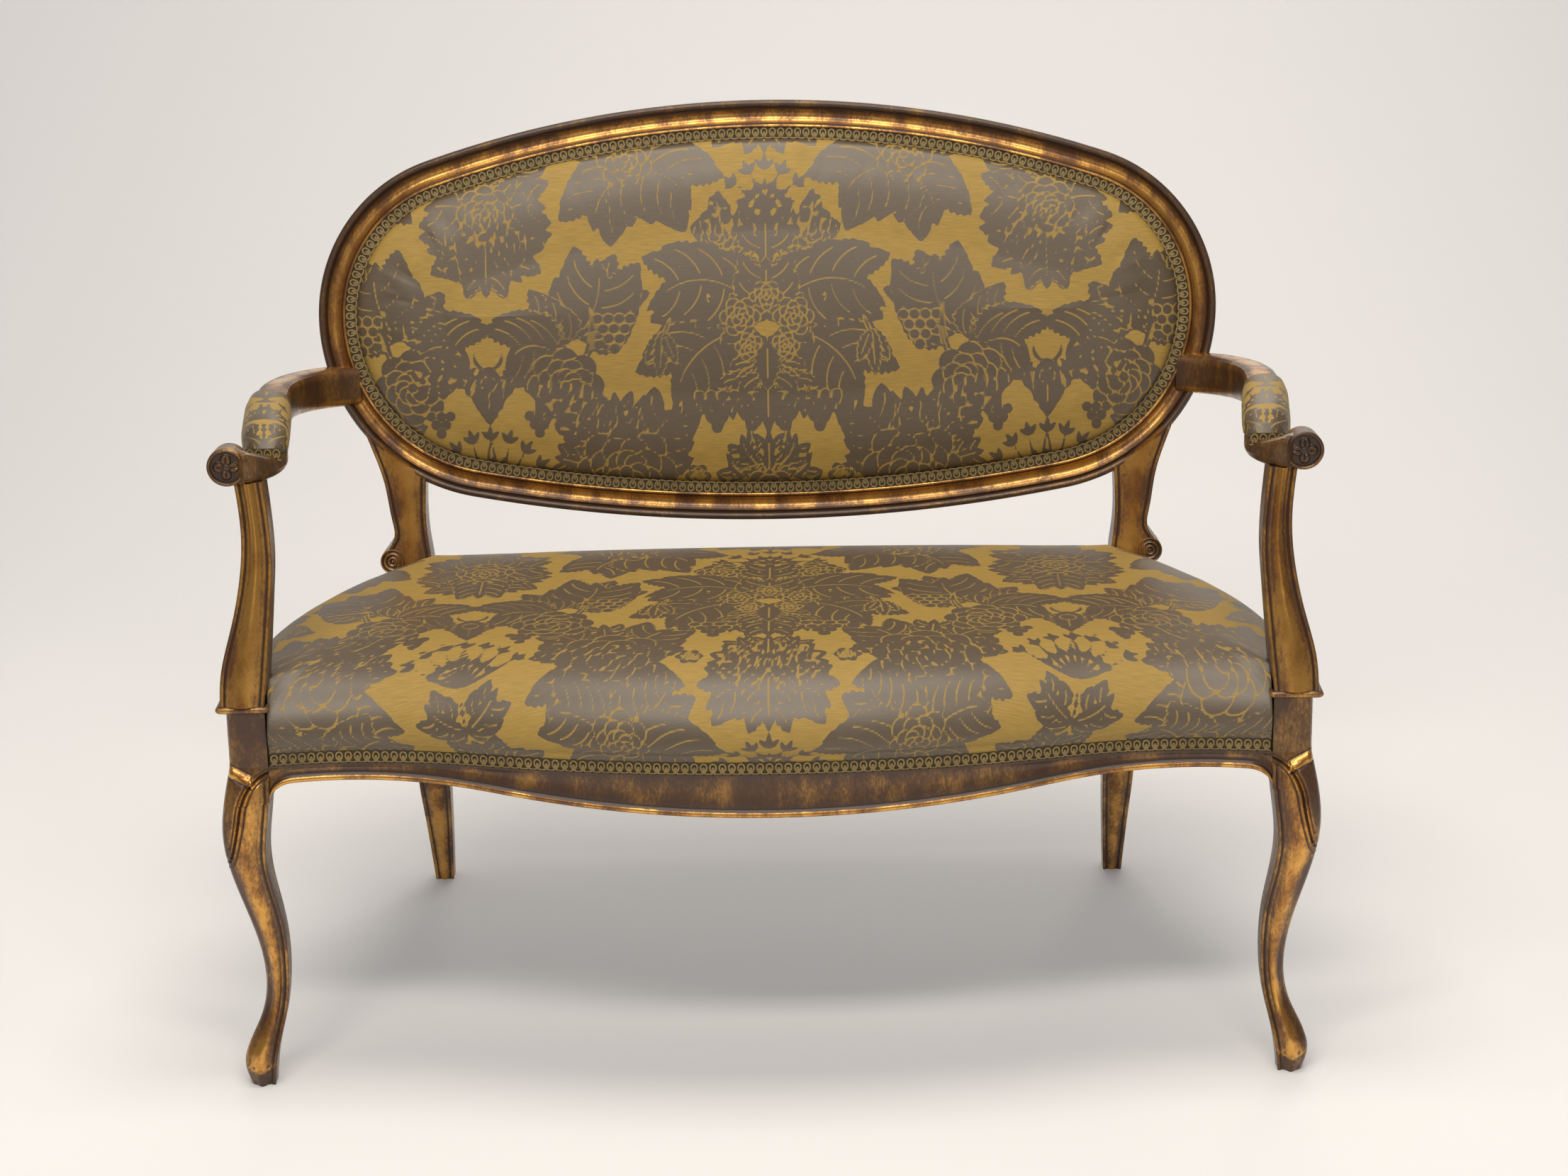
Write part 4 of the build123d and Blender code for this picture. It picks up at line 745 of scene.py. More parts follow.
def volute():
    """Face of a round boss: a rim, a sunk ground, and petals by the cosine of twice the angle."""
    outer = [16.4, 16.9, 17.6, 18.6, 19.6, 20.2, 20.5, 20.5, 19.0]
    radius = np.concatenate([np.linspace(0.01, 15.8, 22), outer])
    turn = np.linspace(0, 2 * np.pi, 96, endpoint=False)
    r, a = np.meshgrid(radius, turn, indexing="ij")
    petal = np.abs(np.cos(2 * a)) ** 0.7
    reach = 5.5 + 9.0 * petal
    leaf = np.clip((reach - r) / 2.2, 0, 1) * np.clip((r - 3.6) / 1.5, 0, 1)
    crease = np.exp(-((np.abs(np.cos(2 * a)) - 1) / 0.012) ** 2)
    boss = np.sqrt(np.clip(1 - (r / 4.2) ** 2, 0, 1))
    rim = np.sqrt(np.clip(1 - ((r - 18.6) / 2.2) ** 2, 0, 1))
    swell = 2.0 + np.sin(np.pi * np.clip(r / 15, 0, 1))
    relief = -VOLUTE_SUNK + leaf * swell * (1 - 0.45 * crease) + 2.6 * boss
    relief = np.where(r > 16.2, -VOLUTE_SUNK + 3.4 * rim, relief)
    y = VOLUTE_FACE - relief
    y[-2:] = [[VOLUTE_FACE + 4], [VOLUTE_BACK]]
    ground = (1 - np.clip(leaf + boss + rim, 0, 1)) * (r < 17.5)
    points = np.stack([VOLUTE_X + r * np.cos(a), y, VOLUTE_Z + r * np.sin(a)], -1)
    return bar(points, np.clip(0.58 + ground * 0.4 + 0.12 * (r < 16), 0, 1))


make_pair("arm", "carved", [arm(), volute()], gilding)

# %% [markdown]
# ## Seat rails
# The front rail waves in plan and along its lower edge. A bead follows that edge, a hollow face stands
# above it, and a rabbet at the top takes the cover and its braid. Each column of the profile has an
# inset from the plan's outline and a height between the rail's lower edge and its top, so one profile
# serves all four rails.

# %% Plan of the seat
BOW_Y, BOW = 908.0, 1250.0
HOLLOW_X, HOLLOW_Y, HOLLOW = 440.0, -792.57, 506.57
SIDE_X, SIDE_Y, SIDE = 18.7, -191.2, 553.1
BACK_RAIL_Y = 201.0
RABBET, RAIL_LOW = 378.0, 350.0
APRON_LOW, APRON_RISE, APRON_REACH, APRON_BOW = 330.0, 29.0, 455.0, 2200.0
BRACKET_X, BRACKET_WIDE, BRACKET_DROP = 507.0, 26.0, 20.0


def wave(x, apex, rise, reach, bow):
    """A serpentine line: an arc that bows down at the middle, then a counter arc up to the reach."""
    counter = (reach**2 + rise**2) / (2 * rise) - bow
    turn = reach * bow / (bow + counter)
    x = np.abs(x)
    inside = apex + bow - np.sqrt(bow**2 - np.minimum(x, turn) ** 2)
    outside = apex + rise - counter + np.sqrt(counter**2 - (np.maximum(x, turn) - reach) ** 2)
    return np.where(x < turn, inside, outside)


def front_line(x, inset):
    """The front edge of the plan at an inset: a serpentine whose two radii change by the inset."""
    turn = HOLLOW_X * (BOW - inset) / (BOW + HOLLOW)
    near = BOW_Y - np.sqrt((BOW - inset) ** 2 - np.minimum(np.abs(x), turn) ** 2)
    far = HOLLOW_Y + np.sqrt((HOLLOW + inset) ** 2 - (np.maximum(np.abs(x), turn) - HOLLOW_X) ** 2)
    return np.where(np.abs(x) < turn, near, far)


print("front edge at the middle and at the post:", front_line(np.array([0.0, POST_INNER]), 0).round(1))

# %% The four rails
# Columns: inset, share of the height, rise, and the value dark: dirt in the grooves, and painted shade on
# the hollow face.
RAIL_PROFILE = np.array([
    (1.2, 0, 0.4, 0.45), (0.3, 0, 1.4, 0.2), (0, 0, 3.2, 0.05), (0.4, 0, 5, 0.1), (1.4, 0, 6.2, 0.6),
    (3.0, 0, 7.2, 0.9), (4.0, 0, 8.2, 0.9), (4.0, 0, 9.6, 0.7), (4.8, 0.15, 9, 0.6), (6.0, 0.4, 6, 0.54),
    (6.2, 0.6, 3, 0.54), (5.4, 0.85, 0, 0.6), (4.0, 1, -3.4, 0.66), (3.2, 1, -1.2, 0.7), (3.2, 1, 0, 0.9),
    (8, 1, 0, 1), (8, 1, 22, 0.5), (30, 1, 22, 0.5), (30, 0, 0, 0.5)])


def rail_rows(low):
    """Insets, heights, and dirt with painted shade of the profile: a share of the way from low to the
    rabbet, plus a rise.
    """
    inset, share, rise, dirt_and_shade = RAIL_PROFILE.T
    return inset, low[:, None] + (RABBET - low)[:, None] * share + rise, dirt_and_shade


x = np.linspace(-POST_INNER - 1, POST_INNER + 1, 260)
bracket = np.clip((np.abs(x) - BRACKET_X) / BRACKET_WIDE, 0, 1)
low = wave(x, APRON_LOW, APRON_RISE, APRON_REACH, APRON_BOW)
inset, z, dirt_and_shade = rail_rows(low - BRACKET_DROP * (1 - np.sqrt(1 - 0.96 * bracket**2)))
points = np.stack(np.broadcast_arrays(x[:, None], front_line(x[:, None], inset), z), -1)
make_piece("front_rail_moulding", [bar(points, dirt_and_shade)], gilding, ["front_rail"])

y = np.linspace(POST_REAR - 1, REAR_FRONT + 1, 90)
inset, z, dirt_and_shade = rail_rows(np.full(len(y), RAIL_LOW))
x = SIDE_X + np.sqrt((SIDE - inset) ** 2 - (y[:, None] - SIDE_Y) ** 2)
points = np.stack(np.broadcast_arrays(x, y[:, None], z), -1)
make_pair("side_rail", "moulding", [bar(points, dirt_and_shade)], gilding)

x = np.array([-REAR_INNER - 1, REAR_INNER + 1])
inset, z, dirt_and_shade = rail_rows(np.full(2, RAIL_LOW))
points = np.stack(np.broadcast_arrays(x[:, None], BACK_RAIL_Y - inset, z), -1)
make_piece("back_rail_moulding", [bar(points, dirt_and_shade)], gilding, ["back_rail"])

# %% [markdown]
# ## The damask
# The cover is a traditional damask: a dull taupe satin figure of leaves, flowers and grapes on a gold
# ground, mirrored about upright lines and repeated. The figure is drawn as a field: for each point of
# the cloth, the distance to the nearest edge of the figure in millimetres, negative inside it. The
# distance changes evenly between neighbouring points, so the shader can cut a crisp edge from it, which
# a painted mask on the same points could not give.

# %% Leaves, flowers, grapes and sprays
REPEAT_WIDE, REPEAT_HIGH = 652.0, 470.0
FAR = 9.0


def lobe(base, tip, width, bend=0.0, swell=0.8):
    """A pointed oval from base to tip: width is half its breadth, bend the bow of its middle line."""
    return (np.asarray(base, float), np.asarray(tip, float), width, bend, swell)


def disc(centre, radius):
    """A round shape: its base and tip are one point, and the width is its radius."""
    return (np.asarray(centre, float), np.asarray(centre, float), radius, 0, 0)


def leaf(base, tip, width, pairs, bend=0.0):
    """A broad lobed leaf: a body from base to tip, and pairs of full lobes that spread from its middle."""
    base, tip, width = np.asarray(base, float), np.asarray(tip, float), 1.32 * width
    along = tip - base
    across = np.array([-along[1], along[0]])
    ahead, aside = along / np.linalg.norm(along), across / np.linalg.norm(across)
    shapes = []
    for k in range(pairs):
        share = 0.04 + 0.64 * k / max(pairs - 1, 1)
        root = base + along * share + across * bend * 4 * share * (1 - share)
        reach = width * (1.36 - 0.6 * share)
        for side in (-1, 1):
            end = root + ahead * reach * (0.48 + 0.36 * share) + aside * side * reach * 0.80
            shapes.append(lobe(root - ahead * width * 0.12, end, width * 0.31, 0.16 * side, 1.15))
    return [shapes + [lobe(base, tip, width * 0.36, bend, 0.9)]]


def bloom(centre, radius, petals):
    """A full flower: three rings of round petals, each lying over the one before, and a heart."""
    groups, radius = [], 1.12 * radius
    for ring, size, shift in ((0.70, 0.36, 0.0), (0.48, 0.30, 0.5), (0.25, 0.24, 0.2)):
        turn = 2 * np.pi * (np.arange(petals) + shift) / petals
        spots = np.asarray(centre) + ring * radius * np.stack([np.cos(turn), np.sin(turn)], -1)
        groups += [[disc(spot, size * radius)] for spot in spots]
    return groups + [[disc(centre, radius * 0.15)]]


def grapes(top, size, rows):
    """A bunch of grapes: rows of discs, each row one shorter than the one above it."""
    return [[disc((top[0] + (k - (rows - 1 - row) / 2) * 2.0 * size, top[1] - row * 1.8 * size), size)]
            for row in range(rows) for k in range(rows - row)]


def spray(base, tips, width, berry):
    """Bent stems from one base, each with a small three-lobed leaf at its end and a pair half way."""
    shapes = []
    for tip in tips:
        way = np.subtract(tip, base) / np.linalg.norm(np.subtract(tip, base))
        side = np.array([-way[1], way[0]])
        shapes.append(lobe(base, tip, width, 0.06, 0.5))
        for place, reach in ((np.asarray(tip, float), 1.0), ((np.asarray(tip) + base) / 2, 0.7)):
            size = berry * reach
            shapes += [lobe(place - way * 3, place + (way * a + side * b) * size, size * 0.42)
                       for a, b in ((2.2, 0), (1.2, 1.5), (1.2, -1.5))]
    return [shapes]


print("shapes in a leaf of four pairs:", len(leaf((0, 0), (0, 50), 20, 4)[0]))

# %% The motifs of half a repeat
MOTIFS = (
    # crown of the medallion
    spray((0, 146), [(0, 196), (19, 190), (37, 176), (52, 158)], 2.4, 7)
    + leaf((16, 96), (66, 154), 21, 3, -0.1) + leaf((18, 88), (96, 98), 22, 3, 0.12)
    + bloom((54, 120), 25, 7) + leaf((0, 78), (0, 150), 26, 3)
    # its two wings
    + leaf((24, 8), (110, -84), 42, 5, 0.18) + leaf((22, 44), (140, 30), 38, 4, 0.24)
    + [[lobe((112, 22), (123, -4), 2.2)], [lobe((120, 6), (142, -30), 9)], [lobe((122, 6), (126, -48), 9)],
       [lobe((120, 4), (106, -32), 8)]]
    # its heart
    + leaf((0, 20), (0, 92), 30, 3) + leaf((12, -34), (42, -100), 19, 3, 0.12) + grapes((60, -70), 6.8, 4)
    + leaf((0, -48), (0, -114), 24, 3) + bloom((0, 44), 17, 6) + bloom((31, 22), 20, 6)
    + bloom((21, -13), 14, 5) + [[lobe((0, -8), (0, -64), 15)]]
    # crest below it
    + leaf((10, -214), (66, -238), 21, 4, 0.12) + leaf((14, -196), (70, -184), 17, 3, 0.15)
    + leaf((6, -166), (50, -138), 15, 3, -0.22) + leaf((4, -162), (32, -114), 16, 3, -0.12)
    + leaf((0, -170), (0, -110), 15, 3) + bloom((0, -188), 27, 7)
    # full flower beside the crest
    + leaf((188, -192), (236, -232), 25, 4, 0.1) + leaf((144, -194), (104, -228), 22, 4)
    + leaf((142, -146), (102, -84), 32, 4, -0.12) + leaf((174, -126), (180, -62), 20, 3)
    + leaf((196, -132), (240, -90), 22, 3, 0.1) + leaf((208, -152), (252, -140), 16, 3)
    + bloom((168, -160), 50, 8) + bloom((84, -166), 13, 6)
    # bunch at the side
    + leaf((214, 6), (146, 66), 30, 4, -0.16) + leaf((220, 2), (196, 92), 40, 4, 0.12)
    + grapes((178, 22), 6.4, 4) + leaf((236, -8), (292, 30), 26, 3, 0.1)
    + leaf((244, -18), (306, -34), 36, 4, 0.28)
    + [[lobe((218, -36), (206, 36), 4, 0.1)]] + bloom((236, -56), 38, 8) + grapes((268, -90), 5.8, 3)
    # drop and shrub on the mirror line
    + [[lobe((323, -36), (310, -13), 2.2, 0.2)], [lobe((306, -44), (312, -72), 11)],
       [lobe((326, -32), (326, -100), 19)], [disc((326, -52), 9)]]
    + spray((326, -182), [(326, -116), (305, -120), (286, -132), (270, -150)], 2.4, 7)
    + leaf((326, -222), (286, -190), 18, 3, 0.1)
    # lower part of the next medallion
    + leaf((312, 166), (274, 212), 27, 3, -0.1) + leaf((314, 122), (256, 104), 24, 4, 0.1)
    + leaf((318, 116), (284, 66), 24, 4, 0.1) + leaf((326, 118), (326, 48), 24, 4)
    + leaf((314, 148), (254, 152), 26, 3, -0.1) + leaf((326, 166), (326, 236), 26, 3)
    + bloom((326, 146), 28, 8)
    # hanging leaves above
    + leaf((178, 222), (236, 248), 27, 4, 0.1) + leaf((146, 222), (100, 264), 26, 4, 0.1)
    + leaf((166, 190), (200, 124), 34, 4, 0.12) + leaf((156, 194), (86, 146), 40, 4, -0.2)
    + bloom((162, 208), 28, 7) + leaf((0, 270), (0, 212), 22, 3))
print("shapes in half a repeat:", sum(len(group) for group in MOTIFS))


# %% Distances to the figure and to its lines
def shape_edge(x, y, shape):
    """Distance to one shape's edge, negative inside it, and distance to its middle line."""
    base, tip, width, bend, swell = shape
    way = tip - base
    size = np.hypot(*way)
    px, py = x - base[0], y - base[1]
    if size == 0:
        return np.hypot(px, py) - width, np.full(len(x), FAR)
    share = (px * way[0] + py * way[1]) / size**2
    held = np.clip(share, 0, 1)
    aside = (py * way[0] - px * way[1]) / size - bend * size * 4 * held * (1 - held)
    tooth = 1 + 0.13 * np.sin(share * size * 0.8) * (width > 7)
    half = width * np.sin(np.pi * held**swell) ** 0.75 * tooth
    past = np.abs(share - held) * size
    edge = np.where(past > 0, np.hypot(aside, past), np.abs(aside) - half)
    rib = np.where((share > 0.1) & (share < 0.78) & (half > 3.5), np.abs(aside), FAR)
    return edge, rib


def damask_fields(cloth):
    """Distance to the figure's edge and to its gold lines in mm, for points (x, y) of the flat cloth.

    Groups are laid one over another: inside a group only its own ribs and outline are drawn.
    """
    x = np.abs((cloth[:, 0] + REPEAT_WIDE / 2) % REPEAT_WIDE - REPEAT_WIDE / 2)
    figure, line = np.full(len(x), FAR), np.full(len(x), FAR)
    for group in MOTIFS:
        ends = np.array([end for shape in group for end in shape[:2]])
        middle = (ends.min(0) + ends.max(0)) / 2
        reach = np.ptp(ends, axis=0).max() * 0.75 + max(shape[2] for shape in group) + 10
        y = (cloth[:, 1] - middle[1] + REPEAT_HIGH / 2) % REPEAT_HIGH - REPEAT_HIGH / 2 + middle[1]
        near = np.nonzero((np.abs(x - middle[0]) < reach) & (np.abs(y - middle[1]) < reach))[0]
        edges, ribs = np.transpose([shape_edge(x[near], y[near], shape) for shape in group], (1, 0, 2))
        edge = edges.min(0)
        rib = np.where(edges < 0, ribs, FAR).min(0)
        under = figure[near] < 0
        line[near] = np.where(edge < 0, np.minimum(rib, np.where(under, -edge, FAR)),
                              np.where(under, np.minimum(line[near], edge), line[near]))
        figure[near] = np.minimum(figure[near], edge)
    return np.maximum(figure, -FAR), line


print("distances at the middle of the crest:", damask_fields(np.array([[0.0, -188.0]])))

# %% [markdown]
# Satin threads shine where the ground does not, so the taupe figure is smoother than the gold and
# lights up on the roll of the seat. The weave runs along the cloth, so it is drawn on the cloth's own
# flat coordinates.

# %% The damask's material
GROUND_GOLD = (0.39, 0.241, 0.033)
FIGURE_TAUPE = (0.079, 0.053, 0.028)


def damask_cloth():
    """Gold ground and taupe satin: the figure is cut near distance 0, and its lines near 1 mm."""
    material, wire, shade = new_material("damask_cloth")
    flat = wire.node("UVMap", {"uv_map": "cloth"})
    figure, line = wire.field("figure"), wire.field("line")
    fray = flat.noise(420, 2)
    inside = 1 - (figure + (fray - 0.5) * 1.0).ramp(-0.1, 0.5)
    satin = inside * (0.12 + 0.88 * line.ramp(0.65, 1.35))
    slub = wire.node("Mapping", sockets={"Vector": flat, "Scale": (1, 14, 1)}).noise(55, 3)
    shade_of = flat.noise(6, 2)
    gold = slub.ramp(0.3, 0.7).blend(GROUND_GOLD, tuple(0.78 * c for c in GROUND_GOLD))
    taupe = (slub * 0.6 + shade_of * 0.4).ramp(0.35, 0.65)
    taupe = taupe.blend(FIGURE_TAUPE, tuple(1.25 * c for c in FIGURE_TAUPE))
    shade(Base_Color=satin.blend(gold, taupe), Roughness=0.72 - satin * 0.26 + (slub - 0.5) * 0.08)
    shade(Specular_IOR_Level=0.95, Sheen_Weight=0.03, Sheen_Roughness=0.4)
    warp = wire.node("TexWave", {"wave_type": "BANDS", "bands_direction": "Y"},
                     {"Vector": flat, "Scale": 260, "Distortion": 1.0, "Detail": 1})
    shade(Normal=(warp * 0.25 + fray * 0.3 + inside * 0.5).bump(0.22, 0.0006))
    return material


damask = damask_cloth()
print("material", damask.name)

# %% [markdown]
# ## Stretching a cover
# A tight seat is cloth drawn over stuffing and tacked all round. The shape is worked out first from its
# roll and its crown, a little low; then the cloth is blown up by a short simulation, held fast along
# its edges, so that it finds the fullness that stuffing gives. Only how far each point moved is kept,
# and the move is capped. The simulation runs on every fourth row and column, and the moves are spread
# evenly to the points between.

# %% The cloth simulation
STRIDE = 4


def stuffed(points, used, faces, held, cap):
    """Moves of a grid of points under pressure from inside, at most cap long; the held points stay."""
    rows, columns = points.shape[:2]
    flat = points.reshape(-1, 3)
    mesh = bpy.data.meshes.new("trial")
    mesh.from_pydata((flat[used] * MM).tolist(), [], [face for group in faces for face in group.tolist()])
    trial = bpy.data.objects.new("trial", mesh)
    bpy.context.scene.collection.objects.link(trial)
    pins = trial.vertex_groups.new(name="pins")
    pins.add(np.nonzero(np.broadcast_to(held, (rows, columns)).ravel()[used])[0].tolist(), 1.0, "REPLACE")
    cloth = trial.modifiers.new("cloth", "CLOTH").settings
    cloth.use_pressure = True
    cloth.uniform_pressure_force = 4
    cloth.vertex_group_mass = "pins"
    cloth.tension_stiffness = cloth.compression_stiffness = 40
    cloth.effector_weights.gravity = 0
    for step in range(1, 21):
        bpy.context.scene.frame_set(step)
    seen = trial.evaluated_get(bpy.context.evaluated_depsgraph_get()).to_mesh()
    blown = np.zeros(len(used) * 3)
    seen.vertices.foreach_get("co", blown)
    moves = np.zeros_like(flat)
    moves[used] = blown.reshape(-1, 3) / MM - flat[used]
    long = np.linalg.norm(moves, axis=-1, keepdims=True)
    bpy.data.objects.remove(trial)
    bpy.context.scene.frame_set(1)
    print("cloth moved at most", round(float(long.max()), 2), "mm")
    moves = (moves * np.minimum(1, cap / np.maximum(long, 1e-6))).reshape(points.shape)
    if len(used) < len(flat):
        moves[-1] = moves[-1, sewn(columns)]
    return moves


def between(coarse, rows, columns):
    """A coarse grid of moves spread evenly over the full grid; its columns go round."""
    down, across = np.arange(rows) / STRIDE, np.arange(columns) / STRIDE
    row, column = down.astype(int), across.astype(int)
    below = np.minimum(row + 1, len(coarse) - 1)
    beside = (column + 1) % coarse.shape[1]
    tall = coarse[row] + (coarse[below] - coarse[row]) * (down % 1)[:, None, None]
    return tall[:, column] + (tall[:, beside] - tall[:, column]) * (across % 1)[:, None]


print("rows and columns of a spread grid:", between(np.zeros((3, 5, 3)), 9, 20).shape[:2])

# %% [markdown]
# ## The seat
# The seat's outline is the rail's, and its rows are the same outline at growing insets: up the skirt,
# over the roll, and in to a line along the middle. Where a post or an upright stands, the cloth is
# pushed to the post's own faces, as the upholsterer cuts and tucks it there. The cloth's flat
# coordinates run on over the roll, so the figure does too.

# %% The outline of the seat
def meeting(inset):
    """Where the hollow of the front and the side meet: the crossing of two circles."""
    a, ra = np.array([HOLLOW_X, HOLLOW_Y]), HOLLOW + inset
    b, rb = np.array([SIDE_X, SIDE_Y]), SIDE - inset
    gap = np.linalg.norm(b - a)
    along = (gap**2 + ra**2 - rb**2) / (2 * gap)
    off = np.sqrt(ra**2 - along**2)
    way = (b - a) / gap
    return a + way * along + np.array([way[1], -way[0]]) * off


def seat_outline(inset, counts):
    """Points of the right half at an inset, from the middle of the front to the middle of the back."""
    front, side, back = counts
    corner = meeting(inset)
    rear_x = SIDE_X + np.sqrt((SIDE - inset) ** 2 - (BACK_RAIL_Y - inset - SIDE_Y) ** 2)
    x = np.linspace(0, corner[0], front, endpoint=False)
    turn_start = np.arctan2(corner[1] - SIDE_Y, corner[0] - SIDE_X)
    turn_stop = np.arctan2(BACK_RAIL_Y - inset - SIDE_Y, rear_x - SIDE_X)
    turn = np.linspace(turn_start, turn_stop, side, endpoint=False)
    flank = np.array([SIDE_X, SIDE_Y]) + (SIDE - inset) * np.stack([np.cos(turn), np.sin(turn)], -1)
    rear = np.linspace(rear_x, 0, back)
    return np.concatenate([np.stack([x, front_line(x, inset)], -1), flank,
                           np.stack([rear, np.full(back, BACK_RAIL_Y - inset)], -1)])


def full_round(half):
    """The whole closed outline from its right half."""
    return np.concatenate([half, half[-2:0:-1] * [-1, 1]])


print("corner of the seat:", meeting(0).round(1))

# %% Rows of the seat
COVER_INSET, TUCK = 6.3, 1.2
SEAT_CROWN = 481.0
SEAT_ROLL = [(0, 6.3, 379, 0), (1, 6.2, 391, 3), (2, 4.6, 402, 7), (3, 1.0, 415, 14), (4, -1.0, 429, 21),
             (5, 0.0, 441, 23), (6, 4.0, 452, 21.5), (7, 12.0, 462, 18), (8, 26, 470, 11.5),
             (9, 48, 475.5, 5), (10, 78, 479, 1.4), (11, 112, 481, 0)]
SEAT_MIDDLE_Y, SEAT_FOLD = -40.0, 310.0
DOME_LOW, DOME_RISE, DOME_FALL = 440.0, 5.0, 12.0
SEAT_SHIFT = (0, 92.0)
SEAT_GIVE = 2.0


def seat_grid(columns, roll_rows, top_rows):
    """Rows of the seat: underside, the roll by its table, lower in front, then the top to its middle."""
    front, side = int(columns * 0.20), int(columns * 0.15)
    counts = (front, side, columns // 2 + 1 - front - side)
    table = np.array(SEAT_ROLL)
    step = np.linspace(0, 11, roll_rows)
    inset, height, drop = [smooth_curve(table[:, 0], table[:, k], step) for k in (1, 2, 3)]
    inset = np.concatenate([[60, 9, 8.2], inset])
    height = np.concatenate([[402, 402, 380], height])
    from_middle = np.minimum(np.arange(columns), columns - np.arange(columns))
    in_front = np.clip((front * 1.05 - from_middle) / (front * 0.1), 0, 1)
    sunk = np.concatenate([[0, 0, 0], drop, np.zeros(top_rows)])[:, None] * in_front
    rings = np.stack([full_round(seat_outline(d, counts)) for d in inset])
    last = rings[-1]
    share = (1 - np.linspace(0, 1, top_rows + 1)[1:]) ** 0.95
    middle = np.stack([SEAT_FOLD * to_and_fro(columns), np.full(columns, SEAT_MIDDLE_Y)], -1)
    top = middle + (last - middle) * share[:, None, None]
    plan = np.concatenate([rings, top])
    z = np.concatenate([np.broadcast_to(height[:, None], rings.shape[:2]),
                        np.full(top.shape[:2], SEAT_CROWN)])
    dome = np.clip((z - DOME_LOW) / (SEAT_CROWN - DOME_LOW), 0, 1)
    along = DOME_RISE - DOME_FALL * (plan[..., 0] / 520) ** 2
    across = np.clip(1 - (np.abs(plan[..., 1] + 30) / 330) ** 3, 0, 1)
    z = z - sunk + dome * along * across
    points = np.concatenate([plan, z[..., None]], -1)
    walked = np.concatenate([[0], np.cumsum(np.hypot(np.diff(inset), np.diff(height)))])
    anchor = np.searchsorted(inset[4:], 30) + 4
    run = walked - walked[anchor]
    outward = rings[2] - rings[anchor]
    outward /= np.maximum(np.linalg.norm(outward, axis=-1, keepdims=True), 1e-6)
    flat = plan.copy()
    flat[:len(inset)] = np.where((np.arange(len(inset)) < anchor)[:, None, None],
                                 rings[anchor] - outward * run[:, None, None], rings)
    return points, flat


def tucked(points):
    """Points inside a post's or an upright's plan are moved to the nearer of the two faces there."""
    x, y = np.abs(points[..., 0]), points[..., 1]
    side = np.sign(points[..., 0])
    posts = ((POST_INNER - TUCK, POST_REAR + TUCK, 1), (REAR_INNER - TUCK, REAR_FRONT - TUCK, -1))
    for face_x, face_y, way in posts:
        over_x, over_y = x - face_x, (face_y - y) * way
        inside = (over_x > 0) & (over_y > 0)
        x = np.where(inside & (over_x <= over_y), face_x, x)
        y = np.where(inside & (over_x > over_y), face_y, y)
    return np.stack([side * x, y, points[..., 2]], -1)


print("a point in a post is tucked to:", tucked(np.array([[560.0, -250.0, 400.0]])))

# %% The seat cover
ROLL_ROWS, TOP_ROWS, SEAT_COLUMNS = 60, 86, 1240
points, flat = seat_grid(SEAT_COLUMNS, ROLL_ROWS, TOP_ROWS)
coarse = points[::STRIDE, ::STRIDE]
held = np.arange(len(coarse))[:, None] < 4
moves = stuffed(coarse, *cushion(coarse), held, SEAT_GIVE)
points = tucked(points + between(moves, *points.shape[:2]))
part = cloth_part(points, flat, SEAT_SHIFT)
seat = make_piece("seat_cover_damask", [part], damask, ["seat_cover", "seat_stuffing"], sharp=180)

# %% [markdown]
# ## The padded back
# The back is an oval panel with a low dome, tacked in the frame's rabbet under the braid. Its rows are
# the oval at growing insets, and its inner rows draw together to a line.

# %% Rows of the back
BACK_ROLL = [(0, 45, -4.5), (1, 45.5, 0.5), (2, 49, 5.5), (3, 58, 9.5), (4, 76, 13.0), (5, 104, 16.2),
             (6, 150, 18.0)]
BACK_CROWN, BACK_FOLD = 5.0, 300.0
BACK_SHIFT = (0, -218.0)
BACK_GIVE = 1.1


def oval_round(columns):
    """The whole oval as a ring of evenly spaced points and outward ways, from the middle of its bottom."""
    lengths = oval_lengths(1.0)
    order = ("bottom_rail", "back_stile_right", "crest_rail", "back_stile_left")
    ring, away = [np.concatenate([lengths[name][k][:-1] for name in order]) for k in (0, 1)]
    ring, away = [np.concatenate([a, a[:1]]) for a in (ring, away)]
    walked = np.concatenate([[0], np.cumsum(np.hypot(*np.diff(ring, axis=0).T))])
    start = BOTTOM * (np.pi / 2 - LOWER_TURN)
    at = (start + walked[-1] * np.arange(columns) / columns) % walked[-1]
    return [np.stack([np.interp(at, walked, a[:, k]) for k in (0, 1)], -1) for a in (ring, away)]


def back_grid(columns, roll_rows, top_rows):
    """Rows of the back: the oval by a table of insets and lifts, then a low dome 1 - share squared."""
    ring, away = oval_round(columns)
    table = np.array(BACK_ROLL)
    at = np.linspace(0, 6, roll_rows)
    inset, lift = [smooth_curve(table[:, 0], table[:, k], at) for k in (1, 2)]
    inset, lift = np.concatenate([[70, 45.2], inset]), np.concatenate([[-8.5, -8.5], lift])
    rings = ring - away * inset[:, None, None]
    last = rings[-1]
    middle = np.stack([BACK_FOLD * to_and_fro(columns), np.full(columns, OVAL_MIDDLE)], -1)
    share = 1 - np.linspace(0, 1, top_rows + 1)[1:]
    flat = np.concatenate([rings, middle + (last - middle) * share[:, None, None]])
    lifts = np.concatenate([lift, lift[-1] + BACK_CROWN * (1 - share**2)])
    return on_back(flat[..., 0], flat[..., 1], np.broadcast_to(lifts[:, None], flat.shape[:2])), flat


print("points round the oval:", len(oval_round(1000)[0]))

